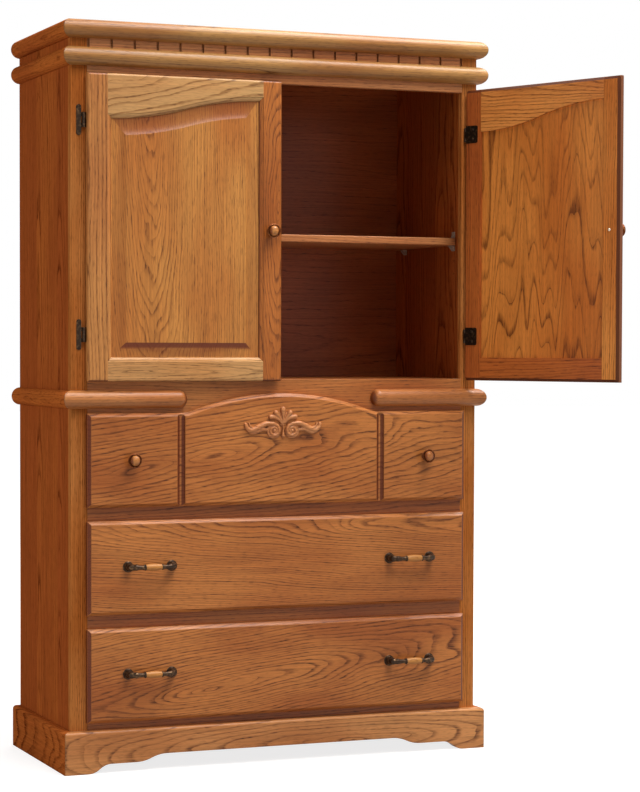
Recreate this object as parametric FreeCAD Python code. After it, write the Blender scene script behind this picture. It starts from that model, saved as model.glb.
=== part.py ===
import FreeCAD, Part
import math
import os

# Oak armoire: a two-door television cupboard over three drawers, in one case.
# All sizes in millimetres. X runs along the front, Y from front to back, Z up.
# The origin lies on the floor at the middle of the back, where the case meets a wall.

# Case
body_width = 1067.0
body_depth = 454.0
body_height = 1792.0
board = 19.0
stile_width = 41.5
corner_round = 4.0
back_thickness = 6.0
back_rabbet = 9.0
bottom_thickness = 12.0
foot_gap = 45.0
back_foot_height = 60.0

# Crown, waist and plinth
bead_radius = 22.0
frieze_height = 20.0
kerf_count = 18
kerf_pitch = 57.5
kerf_width = 5.5
kerf_depth = 6.0
kerf_hidden = 8.0
waist_rail_height = 84.5
waist_drop = 47.5
waist_tip = 242.0
plinth_height = 102.0
plinth_thickness = 20.0
plinth_round = 9.0
scroll_foot = 496.0
scroll_step_out = 437.0
scroll_step_in = 375.0
scroll_top_out = 298.0
scroll_step_height = 22.0
scroll_top_height = 39.0

# Doors
overlay = 4.0
door_under_crown = 17.5
door_thickness = 19.0
door_middle_gap = 7.0
door_standoff = 2.0
door_stile = 49.0
door_low_rail = 57.5
door_rail_outer = 106.0
door_rail_inner = 51.0
door_edge_round = 6.0
door_sticking = 4.5
groove_depth = 9.0
tongue_depth = 8.0
tongue_front = 8.0
tongue_thickness = 6.0
groove_play = 0.1
panel_reveal = 1.0
panel_bevel = 20.0
panel_bevel_rise = 2.0
panel_ramp = 11.0
panel_ramp_rise = 4.4
right_door_angle = 111.4

# Hinges
hinge_inset = 111.0
hinge_out = 5.0
hinge_forward = 5.0
knuckle_radius = 4.6
hinge_pin_radius = 2.0
hinge_pin_play = 0.05
knuckle_gap = 0.3
barrel_height = 35.0
door_knuckle_height = 16.4
leaf_thickness = 1.5
frame_leaf_width = 12.0
frame_leaf_height = 73.0
frame_leaf_inset = 14.5
door_leaf_width = 38.0
door_leaf_height = 44.0
door_leaf_round = 5.0
leaf_screw_spread = 24.0
leaf_screw_inset = 22.0
screw_head_radius = 3.4
screw_crown_radius = 2.0
screw_head_height = 1.1
screw_radius = 1.6
screw_play = 0.1
screw_length = 12.0

# Shelf
shelf_rise = 340.5
shelf_setback = 75.0
shelf_back_gap = 4.0
shelf_end_play = 0.1
shelf_nose = 3.0
clip_web = 2.2
clip_width = 16.0
clip_reach = 14.0
clip_ledge = 2.5
clip_drop = 14.0
clip_rise = 16.0
clip_catch = 3.3
clip_peg_radius = 2.5
clip_peg_length = 10.0
clip_peg_drop = 7.0
clip_front_inset = 15.0
clip_back_inset = 60.0
peg_play = 0.05
peg_pitch = 32.0
peg_rows = 5

# Drawers
drawer_count = 3
front_over_plinth = 18.0
front_gap = 32.5
front_height = 225.0
front_thickness = 19.0
front_bevel = 8.0
front_standoff = 0.5
box_board = 12.0
box_height = 165.0
box_back = 40.0
box_floor = 6.0
box_floor_rise = 9.0
box_floor_let = 5.0
arch_rise = 46.0
arch_ease = 100.0
flute_middle = 262.0
flute_width = 20.0
flute_depth = 7.0
flute_stop = 10.0

# Drawer slides: a channel on the case, a lipped rail on the drawer, one roller on each
slide_space = 12.5
slide_lift = 8.0
slide_sheet = 1.2
slide_height = 20.0
slide_flange = 9.0
slide_front = 2.0
slide_back = 40.0
slide_gap = 0.4
slide_lip_tip = 3.0
slide_foot_drop = 12.0
slide_foot_reach = 9.5
roller_radius = 7.0
roller_width = 6.0
roller_inset = 2.5
roller_end = 12.0
roller_gap = 0.3
axle_radius = 2.0
cleat_height = 50.0
cleat_back = 25.0

# Knobs
knob_radius = 15.5
knob_middle = 19.0
knob_bore = 12.0
knob_foot_radius = 10.5
knob_foot_rim = 1.8
knob_foot_waist = 6.5
knob_foot_top = 7.5
knob_foot_height = 7.0
door_knob_inset = 29.0
drawer_knob_inset = 110.5

# Screws that hold knobs and pulls from behind
back_screw_radius = 2.0
back_screw_play = 0.1
back_head_radius = 4.0
back_head_height = 2.4
back_head_round = 1.4

# Pulls
pull_inset = 154.0
pull_rise = 3.0
pull_foot_spread = 55.0
pull_standoff = 31.0
pull_foot_radius = 12.5
pull_foot_rim = 2.0
pull_dome_radius = 11.0
pull_dome_height = 11.5
pull_bore = 8.0
pull_arm_radius = 5.0
pull_arm_root = 6.0
pull_collar_radius = 7.0
pull_collar_width = 3.0
grip_length = 41.0
grip_end_radius = 6.4
grip_middle_radius = 8.2
grip_rod_radius = 2.6
grip_play = 0.1

# Carved shell on the top drawer, measured from the middle of its lower edge
shell_drop = 110.0
lobe_root_rise = 38.0
lobe_tips = ((0.0, 81.0), (20.0, 73.0), (33.0, 58.0))
lobe_root_radius = 3.0
lobe_tip_radius = 5.5
stem_foot_rise = 5.0
stem_foot_radius = 7.0
stem_top_radius = 4.0
volute_spread = 25.0
volute_rise = 23.0
volute_ring = 13.6
volute_rib = 6.8
volute_eye = 8.0
arm_start = (27.0, 41.0)
arm_fall_radius = 36.0
arm_fall_angle = 50.0
arm_lift_radius = 26.0
arm_lift_angle = 125.0
arm_rib = 6.2

# Places that follow from the sizes above
half_width = body_width / 2
front_y = -body_depth
frame_back_y = front_y + board
inner_x = half_width - board
opening_x = half_width - stile_width
case_top = body_height - board
crown_upper_middle = body_height - bead_radius
crown_lower_middle = crown_upper_middle - 2 * bead_radius - frieze_height
front_pitch = front_height + front_gap
drawer_bottoms = [plinth_height + front_over_plinth + level * front_pitch for level in range(drawer_count)]
top_front_edge = drawer_bottoms[-1] + front_height
deck_top = top_front_edge - overlay + waist_rail_height
waist_middle = deck_top - waist_drop
door_bottom = deck_top - overlay
door_top = crown_lower_middle - bead_radius - door_under_crown
door_middle = (door_bottom + door_top) / 2
hinge_heights = (door_bottom + hinge_inset, door_top - hinge_inset)
shelf_bottom = deck_top + shelf_rise
door_outer_x = -opening_x - overlay
door_inner_x = -door_middle_gap / 2
door_back_y = front_y - door_standoff
door_front_y = door_back_y - door_thickness
hinge_x = door_outer_x - hinge_out
hinge_y = front_y - hinge_forward
front_reach = opening_x + overlay
drawer_back_y = front_y - front_standoff
drawer_front_y = drawer_back_y - front_thickness
shelf_front_y = front_y + shelf_setback
clip_front_y = shelf_front_y + clip_front_inset
clip_back_y = -back_thickness - clip_back_inset
fixing_depth = front_thickness + box_board
margin = 1.0
tiny = 1e-4

UP = FreeCAD.Vector(0, 0, 1)
RIGHT = FreeCAD.Vector(1, 0, 0)
BACK = FreeCAD.Vector(0, 1, 0)


def point(x, y, z):
    """A point of the model."""
    return FreeCAD.Vector(x, y, z)


def block(x_span, y_span, z_span):
    """A box between two limits on each axis."""
    corner = point(x_span[0], y_span[0], z_span[0])
    return Part.makeBox(x_span[1] - x_span[0], y_span[1] - y_span[0], z_span[1] - z_span[0], corner)


def line(start, end):
    """A straight edge."""
    return Part.LineSegment(start, end).toShape()


def arc(start, middle, end):
    """A circular edge through three points."""
    return Part.Arc(start, middle, end).toShape()


def filled(edges):
    """The flat face inside a closed run of edges."""
    return Part.Face(Part.Wire(edges))


def polygon(points):
    """The flat face inside straight sides."""
    return Part.Face(Part.makePolygon(points + points[:1]))


def turned(profile, base, axis):
    """A solid of revolution: lines of two points and arcs of three, from the axis back to the axis."""
    edges = [line(*curve) if len(curve) == 2 else arc(*curve) for curve in profile]
    edges.append(line(profile[-1][-1], profile[0][0]))
    return filled(edges).revolve(base, axis, 360)


def mirrored(solid):
    """The same solid on the other side of the middle plane."""
    return solid.mirror(point(0, 0, 0), RIGHT)


def pair(solid):
    """A solid and its mirror image."""
    return [mirrored(solid), solid]


def level_edges(solid, y):
    """The edges of a solid that lie in one plane of constant Y."""
    return [e for e in solid.Edges if abs(e.BoundBox.YMin - y) < tiny and abs(e.BoundBox.YMax - y) < tiny]


def ogee(start, end):
    """Two equal tangent arcs from start to end, level at both ends, in a plane of constant Y."""
    run = end.x - start.x
    rise = end.z - start.z
    radius = (run ** 2 + rise ** 2) / (4 * abs(rise))
    half_turn = math.asin(abs(run) / 2 / radius)
    side = math.copysign(1, run)
    up = math.copysign(1, rise)

    def on_first(angle):
        return start + point(side * radius * math.sin(angle), 0, up * radius * (1 - math.cos(angle)))

    def on_second(angle):
        return end - point(side * radius * math.sin(angle), 0, up * radius * (1 - math.cos(angle)))

    first = arc(start, on_first(half_turn / 2), on_first(half_turn))
    second = arc(on_first(half_turn), on_second(half_turn / 2), end)
    return [first, second]


# Case and face frame


def side_panel():
    """Right side of the case, rabbeted for the back and drilled for the shelf pegs."""
    panel = block((inner_x, half_width), (frame_back_y, 0), (0, case_top))
    rabbet_x = (inner_x - margin, inner_x + back_rabbet)
    panel = panel.cut(block(rabbet_x, (-back_thickness, margin), (back_foot_height, case_top + margin)))
    for peg_y in (clip_front_y, clip_back_y):
        for row in range(peg_rows):
            peg_z = shelf_bottom - clip_peg_drop + (row - peg_rows // 2) * peg_pitch
            start = point(inner_x, peg_y, peg_z)
            panel = panel.cut(Part.makeCylinder(clip_peg_radius + peg_play, clip_peg_length, start, RIGHT))
    return panel


def back_panel():
    """Plywood back let into the sides."""
    reach = inner_x + back_rabbet
    return block((-reach, reach), (-back_thickness, 0), (back_foot_height, case_top))


def frame_stile():
    """Right upright of the face frame, eased at its outer corner, drilled for the hinge screws."""
    stile = block((opening_x, half_width), (front_y, frame_back_y), (0, case_top))
    corner = [e for e in level_edges(stile, front_y) if abs(e.BoundBox.XMin - half_width) < tiny]
    stile = stile.makeFillet(corner_round, corner)
    for place in frame_screw_places():
        hole = Part.makeCylinder(screw_radius + screw_play, screw_length, mirror_point(place), BACK)
        stile = stile.cut(hole)
    return stile


def frame_rail(low, high):
    """A rail of the face frame between the stiles."""
    return block((-opening_x, opening_x), (front_y, frame_back_y), (low, high))


def dentil_rail():
    """Top rail with the row of saw kerfs that makes the dentils of the frieze."""
    rail = frame_rail(door_top - overlay, case_top)
    low = crown_lower_middle + bead_radius - kerf_hidden
    high = crown_upper_middle - bead_radius + kerf_hidden
    for number in range(kerf_count):
        middle = (number - (kerf_count - 1) / 2) * kerf_pitch
        span = (middle - kerf_width / 2, middle + kerf_width / 2)
        rail = rail.cut(block(span, (front_y - margin, front_y + kerf_depth), (low, high)))
    return rail


def drawer_opening(level):
    """Lower and upper edge of one drawer opening in the face frame."""
    bottom = drawer_bottoms[level]
    return bottom + overlay, bottom + front_height - overlay


# Mouldings


def front_mitre(reach, low, high):
    """The space in front of the case that a mitred front piece fills."""
    face = polygon([
        point(-half_width, front_y, low),
        point(half_width, front_y, low),
        point(half_width + reach, front_y - reach, low),
        point(-half_width - reach, front_y - reach, low),
    ])
    return face.extrude(UP * (high - low))


def side_mitre(reach, low, high):
    """The space beside the case that a mitred right-hand return fills."""
    face = polygon([
        point(half_width, front_y, low),
        point(half_width + reach, front_y - reach, low),
        point(half_width + reach, 0, low),
        point(half_width, 0, low),
    ])
    return face.extrude(UP * (high - low))


def bead_section(at, outward):
    """Half-round section of a moulding whose flat back is centred on a point."""
    top = at + UP * bead_radius
    bottom = at - UP * bead_radius
    return filled([arc(top, at + outward * bead_radius, bottom), line(bottom, top)])


def bead_front(middle):
    """A half-round moulding along the whole front, mitred at both ends."""
    start = -half_width - bead_radius
    bead = bead_section(point(start, front_y, middle), BACK * -1).extrude(RIGHT * (-2 * start))
    return bead.common(front_mitre(bead_radius, middle - bead_radius, middle + bead_radius))


def bead_return(middle):
    """A half-round moulding along the right side, mitred to the front one."""
    start = front_y - bead_radius
    bead = bead_section(point(half_width, start, middle), RIGHT).extrude(BACK * -start)
    return bead.common(side_mitre(bead_radius, middle - bead_radius, middle + bead_radius))


def waist_front():
    """Right-hand waist moulding, ending in a rounded tip beside the arched drawer."""
    start = point(waist_tip + bead_radius, front_y, waist_middle)
    section = bead_section(start, BACK * -1)
    run = section.extrude(RIGHT * (half_width + bead_radius - start.x))
    run = run.common(front_mitre(bead_radius, waist_middle - bead_radius, waist_middle + bead_radius))
    tip = section.revolve(start, UP, -90)
    return run.fuse(tip).removeSplitter()


# Plinth


def plinth_profile(at, outward):
    """Cross-section of the plinth boards: square below, rounded at the outer top edge."""
    outer = plinth_thickness
    top = plinth_height
    bend = plinth_round * (1 - math.sqrt(0.5))

    def place(out, z):
        return at + outward * out + UP * z

    flank = place(outer, top - plinth_round)
    shoulder = place(outer - plinth_round, top)
    return filled([
        line(place(0, 0), place(outer, 0)),
        line(place(outer, 0), flank),
        arc(flank, place(outer - bend, top - bend), shoulder),
        line(shoulder, place(0, top)),
        line(place(0, top), place(0, 0)),
    ])


def scroll_cut():
    """The scrolled opening sawn out of the front plinth."""
    start_y = front_y - plinth_thickness - margin
    right = [
        point(scroll_foot, start_y, 0),
        point(scroll_step_out, start_y, scroll_step_height),
        point(scroll_step_in, start_y, scroll_step_height),
        point(scroll_top_out, start_y, scroll_top_height),
    ]
    left = [point(-p.x, p.y, p.z) for p in right]
    edges = ogee(right[0], right[1])
    edges.append(line(right[1], right[2]))
    edges += ogee(right[2], right[3])
    edges.append(line(right[3], left[3]))
    edges += ogee(left[3], left[2])
    edges.append(line(left[2], left[1]))
    edges += ogee(left[1], left[0])
    edges.append(line(left[0], right[0]))
    return filled(edges).extrude(BACK * (plinth_thickness + 2 * margin))


def plinth_front():
    """Front plinth board, mitred at both ends, with its scrolled lower edge."""
    start = point(-half_width - plinth_thickness, front_y, 0)
    length = body_width + 2 * plinth_thickness
    stock = plinth_profile(start, BACK * -1).extrude(RIGHT * length)
    return stock.common(front_mitre(plinth_thickness, 0, plinth_height)).cut(scroll_cut())


def plinth_side():
    """Right-hand plinth board, straight along the floor."""
    start = point(half_width, front_y - plinth_thickness, 0)
    stock = plinth_profile(start, RIGHT).extrude(BACK * (body_depth + plinth_thickness))
    return stock.common(side_mitre(plinth_thickness, 0, plinth_height))


# Shelf


def shelf_board():
    """Adjustable shelf with an eased front edge, short enough to pass the clip webs."""
    end = inner_x - clip_web - shelf_end_play
    deep = (shelf_front_y, -back_thickness - shelf_back_gap)
    shelf = block((-end, end), deep, (shelf_bottom, shelf_bottom + board))
    nose = [e for e in level_edges(shelf, shelf_front_y) if e.BoundBox.XLength > margin]
    return shelf.makeFillet(shelf_nose, nose)


def shelf_clip(peg_y):
    """Right-hand plastic clip: a web on the case side, a ledge under the shelf and a catch above it."""
    start = peg_y - clip_width / 2

    def place(inward, z):
        return point(inner_x - inward, start, shelf_bottom + z)

    catch_low = board + peg_play
    web = polygon([
        place(0, -clip_drop),
        place(clip_web, -clip_drop),
        place(clip_reach - clip_ledge, -clip_ledge),
        place(clip_reach, -clip_ledge),
        place(clip_reach, 0),
        place(clip_web, 0),
        place(clip_web, catch_low),
        place(clip_web + clip_catch, catch_low),
        place(clip_web, catch_low + clip_rise / 2),
        place(clip_web, board + clip_rise),
        place(0, board + clip_rise),
    ]).extrude(BACK * clip_width)
    peg_start = point(inner_x, peg_y, shelf_bottom - clip_peg_drop)
    return web.fuse(Part.makeCylinder(clip_peg_radius, clip_peg_length, peg_start, RIGHT))


# Doors, drawn closed on the left side; the right-hand door is the mirror image


def mirror_point(place):
    """The same place on the other side of the middle plane."""
    return point(-place.x, place.y, place.z)


def door_opening(grow, y):
    """Outline of the panel opening with its half-arch top, grown outwards or shrunk when negative."""
    left = door_outer_x + door_stile
    right = door_inner_x - door_stile
    low = door_bottom + door_low_rail
    left_top = door_top - door_rail_outer
    right_top = door_top - door_rail_inner
    run = right - left
    rise = right_top - left_top
    radius = (run ** 2 + rise ** 2) / (4 * rise)
    turn = math.asin(run / 2 / radius)
    hollow_radius = radius - grow
    crest_radius = radius + grow
    inset = max(0.0, -grow)
    hollow_start = math.asin(inset / hollow_radius)
    crest_start = math.asin(inset / crest_radius)

    hollow_middle = point(left, y, left_top + radius)
    crest_middle = point(right, y, right_top - radius)

    def on_hollow(angle):
        return hollow_middle + point(math.sin(angle), 0, -math.cos(angle)) * hollow_radius

    def on_crest(angle):
        return crest_middle + point(-math.sin(angle), 0, math.cos(angle)) * crest_radius

    low_left = point(left - grow, y, low - grow)
    low_right = point(right + grow, y, low - grow)
    high_right = on_crest(crest_start)
    high_left = on_hollow(hollow_start)
    edges = [line(low_left, low_right)]
    if grow > 0:
        shoulder_right = point(low_right.x, y, high_right.z)
        edges.append(line(low_right, shoulder_right))
        edges.append(line(shoulder_right, high_right))
    else:
        edges.append(line(low_right, high_right))
    edges.append(arc(high_right, on_crest((crest_start + turn) / 2), on_crest(turn)))
    edges.append(arc(on_crest(turn), on_hollow((hollow_start + turn) / 2), high_left))
    if grow > 0:
        shoulder_left = point(low_left.x, y, high_left.z)
        edges.append(line(high_left, shoulder_left))
        edges.append(line(shoulder_left, low_left))
    else:
        edges.append(line(high_left, low_left))
    return edges


def door_slab(grow, front, back):
    """A plate with the outline of the panel opening between two depths behind the door's face."""
    return filled(door_opening(grow, door_front_y + front)).extrude(BACK * (back - front))


def door_frame():
    """Stiles, top rail and bottom rail of a door, cut from one moulded and grooved ring."""
    ring = block((door_outer_x, door_inner_x), (door_front_y, door_back_y), (door_bottom, door_top))
    ring = ring.makeFillet(door_edge_round, level_edges(ring, door_front_y))
    ring = ring.cut(door_slab(0, -margin, door_thickness + margin))
    left = door_outer_x + door_stile
    right = door_inner_x - door_stile
    rim = level_edges(ring, door_front_y)
    inside = [e for e in rim if e.BoundBox.XMin > left - margin and e.BoundBox.XMax < right + margin]
    ring = ring.makeFillet(door_sticking, inside)
    groove_front = tongue_front - groove_play
    groove_back = tongue_front + tongue_thickness + groove_play
    ring = ring.cut(door_slab(groove_depth, groove_front, groove_back))
    ring = ring.cut(back_screw_hole(door_knob_place(), door_thickness))
    for place in door_screw_places():
        ring = ring.cut(Part.makeCylinder(screw_radius + screw_play, screw_length, place, BACK * -1))
    deep = (door_front_y - margin, door_back_y + margin)
    tall = (door_bottom - margin, door_top + margin)
    hinge_stile = ring.common(block((door_outer_x - margin, left), deep, tall))
    lock_stile = ring.common(block((right, door_inner_x + margin), deep, tall))
    top_rail = ring.common(block((left, right), deep, (door_middle, tall[1])))
    low_rail = ring.common(block((left, right), deep, (tall[0], door_middle)))
    return [hinge_stile, lock_stile], top_rail, low_rail


def door_panel():
    """Raised panel: a tongue in the groove, a low bevel and a steeper ramp up to the field."""
    tongue = door_slab(tongue_depth, tongue_front, tongue_front + tongue_thickness)
    bevel_top = tongue_front - panel_bevel_rise
    field = bevel_top - panel_ramp_rise
    sections = [
        Part.Wire(door_opening(-panel_reveal, door_front_y + tongue_front)),
        Part.Wire(door_opening(-panel_bevel, door_front_y + bevel_top)),
        Part.Wire(door_opening(-panel_bevel - panel_ramp, door_front_y + field)),
    ]
    raised = Part.makeLoft(sections, True, True)
    return tongue.fuse(raised)


def door_knob_place():
    """Where the knob of the left door stands on its face."""
    return point(door_inner_x - door_knob_inset, door_front_y, door_middle)


def hung(solids, right):
    """A door's solids on the left, or mirrored and swung open on the right."""
    if not right:
        return solids
    swung = []
    for solid in solids:
        other = mirrored(solid)
        other.rotate(point(-hinge_x, hinge_y, 0), UP, right_door_angle)
        swung.append(other)
    return swung


# Hinges


def frame_screw_places():
    """Points on the face frame where the screws of the left-hand frame leaves enter."""
    middle = -half_width + frame_leaf_inset + frame_leaf_width / 2
    reach = frame_leaf_height / 2 - frame_leaf_width / 2
    return [point(middle, front_y, z + side * reach) for z in hinge_heights for side in (-1, 1)]


def door_screw_places():
    """Points on the back of the left door where the screws of the door leaves enter."""
    middle = door_outer_x + leaf_screw_inset
    reach = leaf_screw_spread / 2
    return [point(middle, door_back_y, z + side * reach) for z in hinge_heights for side in (-1, 1)]


def knuckle(low, high):
    """A barrel knuckle of the left hinges around the pin, still without its bore."""
    return Part.makeCylinder(knuckle_radius, high - low, point(hinge_x, hinge_y, low), UP)


def pin_bore(low, high):
    """The hole that the hinge pin runs in."""
    start = point(hinge_x, hinge_y, low)
    return Part.makeCylinder(hinge_pin_radius + hinge_pin_play, high - low, start, UP)


def frame_leaf(z):
    """Leaf on the face frame: a round-ended plate with two arms that curl into the outer knuckles."""
    left = -half_width + frame_leaf_inset
    right = left + frame_leaf_width
    end = frame_leaf_width / 2
    low = z - frame_leaf_height / 2
    high = z + frame_leaf_height / 2
    front = front_y - leaf_thickness
    middle = left + end
    leaf = filled([
        line(point(left, front, high - end), point(left, front, low + end)),
        arc(point(left, front, low + end), point(middle, front, low), point(right, front, low + end)),
        line(point(right, front, low + end), point(right, front, high - end)),
        arc(point(right, front, high - end), point(middle, front, high), point(left, front, high - end)),
    ]).extrude(BACK * leaf_thickness)
    inner = door_knuckle_height / 2 + knuckle_gap
    outer = barrel_height / 2
    for span in ((z - outer, z - inner), (z + inner, z + outer)):
        arm = block((right - margin, hinge_x), (front, front_y), span)
        leaf = leaf.fuse(arm).fuse(knuckle(*span))
    leaf = leaf.cut(pin_bore(low, high))
    for place in frame_screw_places():
        leaf = leaf.cut(Part.makeCylinder(screw_radius + screw_play, leaf_thickness, place, BACK * -1))
    return leaf.removeSplitter()


def door_leaf(z):
    """Leaf on the back of the door, curling past the door's edge into the middle knuckle."""
    right = door_outer_x + door_leaf_width
    tall = (z - door_leaf_height / 2, z + door_leaf_height / 2)
    plate = block((door_outer_x, right), (door_back_y, door_back_y + leaf_thickness), tall)
    through = [e for e in plate.Edges if e.BoundBox.YLength > margin]
    corners = [e for e in through if abs(e.BoundBox.XMin - right) < tiny]
    plate = plate.makeFillet(door_leaf_round, corners)
    middle = (z - door_knuckle_height / 2, z + door_knuckle_height / 2)
    arm = block((hinge_x, door_outer_x + margin), (door_back_y, door_back_y + leaf_thickness), middle)
    leaf = plate.fuse(arm).fuse(knuckle(*middle))
    leaf = leaf.cut(pin_bore(*tall))
    for place in door_screw_places():
        leaf = leaf.cut(Part.makeCylinder(screw_radius + screw_play, leaf_thickness, place, BACK))
    return leaf.removeSplitter()


def hinge_pin(z):
    """Pin through the three knuckles."""
    start = point(hinge_x, hinge_y, z - barrel_height / 2)
    return Part.makeCylinder(hinge_pin_radius, barrel_height, start, UP)


def wood_screw(place, outward):
    """Round-headed screw through a leaf into the wood at a place on the wood's face."""
    under_head = place + outward * leaf_thickness
    head = Part.makeCone(screw_head_radius, screw_crown_radius, screw_head_height, under_head, outward)
    length = leaf_thickness + screw_length - margin
    return head.fuse(Part.makeCylinder(screw_radius, length, under_head, outward * -1))


# Knobs and pulls


def back_screw_hole(place, depth):
    """Clearance hole for a screw from behind, through a board, at a place on the board's face."""
    radius = back_screw_radius + back_screw_play
    return Part.makeCylinder(radius, depth + 2 * margin, place - BACK * margin, BACK)


def back_screw(place, depth, reach):
    """Round-headed screw from the back of a board, standing out of the board's face by a reach."""
    seat = place + BACK * depth
    shank = Part.makeCylinder(back_screw_radius, depth + reach, seat, BACK * -1)
    head = Part.makeCylinder(back_head_radius, back_head_height, seat, BACK)
    rim = [e for e in head.Edges if abs(e.BoundBox.YMin - seat.y - back_head_height) < tiny]
    return head.makeFillet(back_head_round, rim).fuse(shank)


def blind_bore(place, depth):
    """Hole that takes the end of a screw, from a place outwards."""
    return Part.makeCylinder(back_screw_radius + back_screw_play, depth, place, BACK * -1)


def knob(place):
    """Turned wooden ball on its foot, bored for the screw."""

    def at(radius, out):
        return place + point(radius, -out, 0)

    seat = math.sqrt(knob_radius ** 2 - (knob_middle - knob_foot_height) ** 2)
    ball = turned([
        (at(0, knob_foot_height), at(seat, knob_foot_height)),
        (at(seat, knob_foot_height), at(knob_radius, knob_middle), at(0, knob_middle + knob_radius)),
    ], place, BACK)
    return ball.cut(blind_bore(at(0, knob_foot_height), knob_bore))


def knob_foot(place):
    """Bronze foot between a knob and its board, hollowed on its flank."""

    def at(radius, out):
        return place + point(radius, -out, 0)

    rim = at(knob_foot_radius, knob_foot_rim)
    waist = at(knob_foot_waist, (knob_foot_rim + knob_foot_height) / 2)
    collar = at(knob_foot_top, knob_foot_height)
    foot = turned([
        (at(0, 0), at(knob_foot_radius, 0)),
        (at(knob_foot_radius, 0), rim),
        (rim, waist, collar),
        (collar, at(0, knob_foot_height)),
    ], place, BACK)
    return foot.cut(back_screw_hole(at(0, knob_foot_height), knob_foot_height))


def knob_set(places, depth):
    """Feet and screws of knobs that stand on a board of a given depth."""
    reach = knob_foot_height + knob_bore - margin
    return [knob_foot(place) for place in places] + [back_screw(place, depth, reach) for place in places]


def pull_places(level):
    """Middle points of the two pulls on one drawer's face."""
    z = drawer_bottoms[level] + front_height / 2 + pull_rise
    spread = front_reach - pull_inset
    return [point(side * spread, drawer_front_y, z) for side in (-1, 1)]


def pull_feet(place):
    """Points on the drawer's face where the two feet of a pull stand."""
    return [place + RIGHT * (side * pull_foot_spread) for side in (-1, 1)]


def pull_foot(foot):
    """Domed round foot of a pull with a flat rim, bored for its screw."""

    def at(radius, out):
        return foot + point(radius, -out, 0)

    rise = pull_dome_height - pull_foot_rim
    dome = (pull_dome_radius ** 2 + rise ** 2) / (2 * rise)
    half_turn = math.asin(pull_dome_radius / dome) / 2
    brow = at(dome * math.sin(half_turn), pull_dome_height - dome * (1 - math.cos(half_turn)))
    solid = turned([
        (at(0, 0), at(pull_foot_radius, 0)),
        (at(pull_foot_radius, 0), at(pull_foot_radius, pull_foot_rim)),
        (at(pull_foot_radius, pull_foot_rim), at(pull_dome_radius, pull_foot_rim)),
        (at(pull_dome_radius, pull_foot_rim), brow, at(0, pull_dome_height)),
    ], foot, BACK)
    return solid


def pull_arm(place):
    """Right-hand arm of a pull: a round bar bent in one arc from its foot to the end of the grip."""
    end_x = grip_length / 2 + pull_collar_width
    run = pull_foot_spread - end_x
    rise = pull_standoff - pull_arm_root
    radius = (run ** 2 + rise ** 2) / (2 * rise)
    angle = math.degrees(math.asin(run / radius))
    end = place + point(end_x, -pull_standoff, 0)
    section = Part.Face(Part.Wire([Part.makeCircle(pull_arm_radius, end, RIGHT)]))
    return section.revolve(end + BACK * radius, UP, angle)


def pull_metal(place):
    """Metal of one pull: two feet, two arms with collars, and the rod through the grip."""
    rod_start = place + point(-grip_length / 2 - margin, -pull_standoff, 0)
    rod = Part.makeCylinder(grip_rod_radius, grip_length + 2 * margin, rod_start, RIGHT)
    collar_start = place + point(grip_length / 2, -pull_standoff, 0)
    collar = Part.makeCylinder(pull_collar_radius, pull_collar_width, collar_start, RIGHT)
    half = collar.fuse(pull_arm(place)).fuse(pull_foot(place + RIGHT * pull_foot_spread))
    metal = rod.fuse(half).fuse(half.mirror(place, RIGHT))
    for foot in pull_feet(place):
        metal = metal.cut(blind_bore(foot, pull_bore))
    return metal.removeSplitter()


def pull_set(level):
    """Metal and screws of the two pulls of a drawer."""
    places = pull_places(level)
    feet = [foot for place in places for foot in pull_feet(place)]
    screws = [back_screw(foot, fixing_depth, pull_bore - margin) for foot in feet]
    return [pull_metal(place) for place in places] + screws


def pull_grip(place):
    """Turned wooden barrel on the rod between the collars."""

    def at(along, radius):
        return place + point(along, -pull_standoff, radius)

    end = grip_length / 2 - grip_play
    solid = turned([
        (at(-end, 0), at(-end, grip_end_radius)),
        (at(-end, grip_end_radius), at(0, grip_middle_radius), at(end, grip_end_radius)),
        (at(end, grip_end_radius), at(end, 0)),
    ], at(0, 0), RIGHT)
    start = at(-grip_length / 2, 0)
    return solid.cut(Part.makeCylinder(grip_rod_radius + grip_play, grip_length, start, RIGHT))


# Drawers


def plain_front(level):
    """Drawer front with all four front edges bevelled."""
    bottom = drawer_bottoms[level]
    thick = (drawer_front_y, drawer_back_y)
    front = block((-front_reach, front_reach), thick, (bottom, bottom + front_height))
    return front.makeChamfer(front_bevel, level_edges(front, drawer_front_y))


def arched_front():
    """Top drawer front: an eased arch in its upper edge and two flutes that mark off three fields."""
    low = drawer_bottoms[-1]
    flat = top_front_edge
    crest = flat + arch_rise
    both = (flute_middle ** 2 + arch_rise ** 2) / (2 * arch_rise)
    crown = both - arch_ease
    turn = math.asin(flute_middle / both)
    y = drawer_back_y

    def on_ease(side, angle):
        inward = arch_ease * math.sin(angle)
        lift = arch_ease * (1 - math.cos(angle))
        return point(side * (flute_middle - inward), y, flat + lift)

    meet_right = on_ease(1, turn)
    meet_left = on_ease(-1, turn)
    corners = [
        point(-front_reach, y, flat),
        point(-front_reach, y, low),
        point(front_reach, y, low),
        point(front_reach, y, flat),
    ]
    edges = [line(a, b) for a, b in zip(corners, corners[1:])]
    edges.append(line(corners[3], on_ease(1, 0)))
    edges.append(arc(on_ease(1, 0), on_ease(1, turn / 2), meet_right))
    edges.append(arc(meet_right, point(0, y, crest), meet_left))
    edges.append(arc(meet_left, on_ease(-1, turn / 2), on_ease(-1, 0)))
    edges.append(line(on_ease(-1, 0), corners[0]))
    front = filled(edges).extrude(BACK * -front_thickness)
    front = front.makeChamfer(front_bevel, level_edges(front, drawer_front_y))
    for side in (-1, 1):
        front = front.cut(flute(side * flute_middle, low, flat - flute_stop))
    return front


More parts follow.
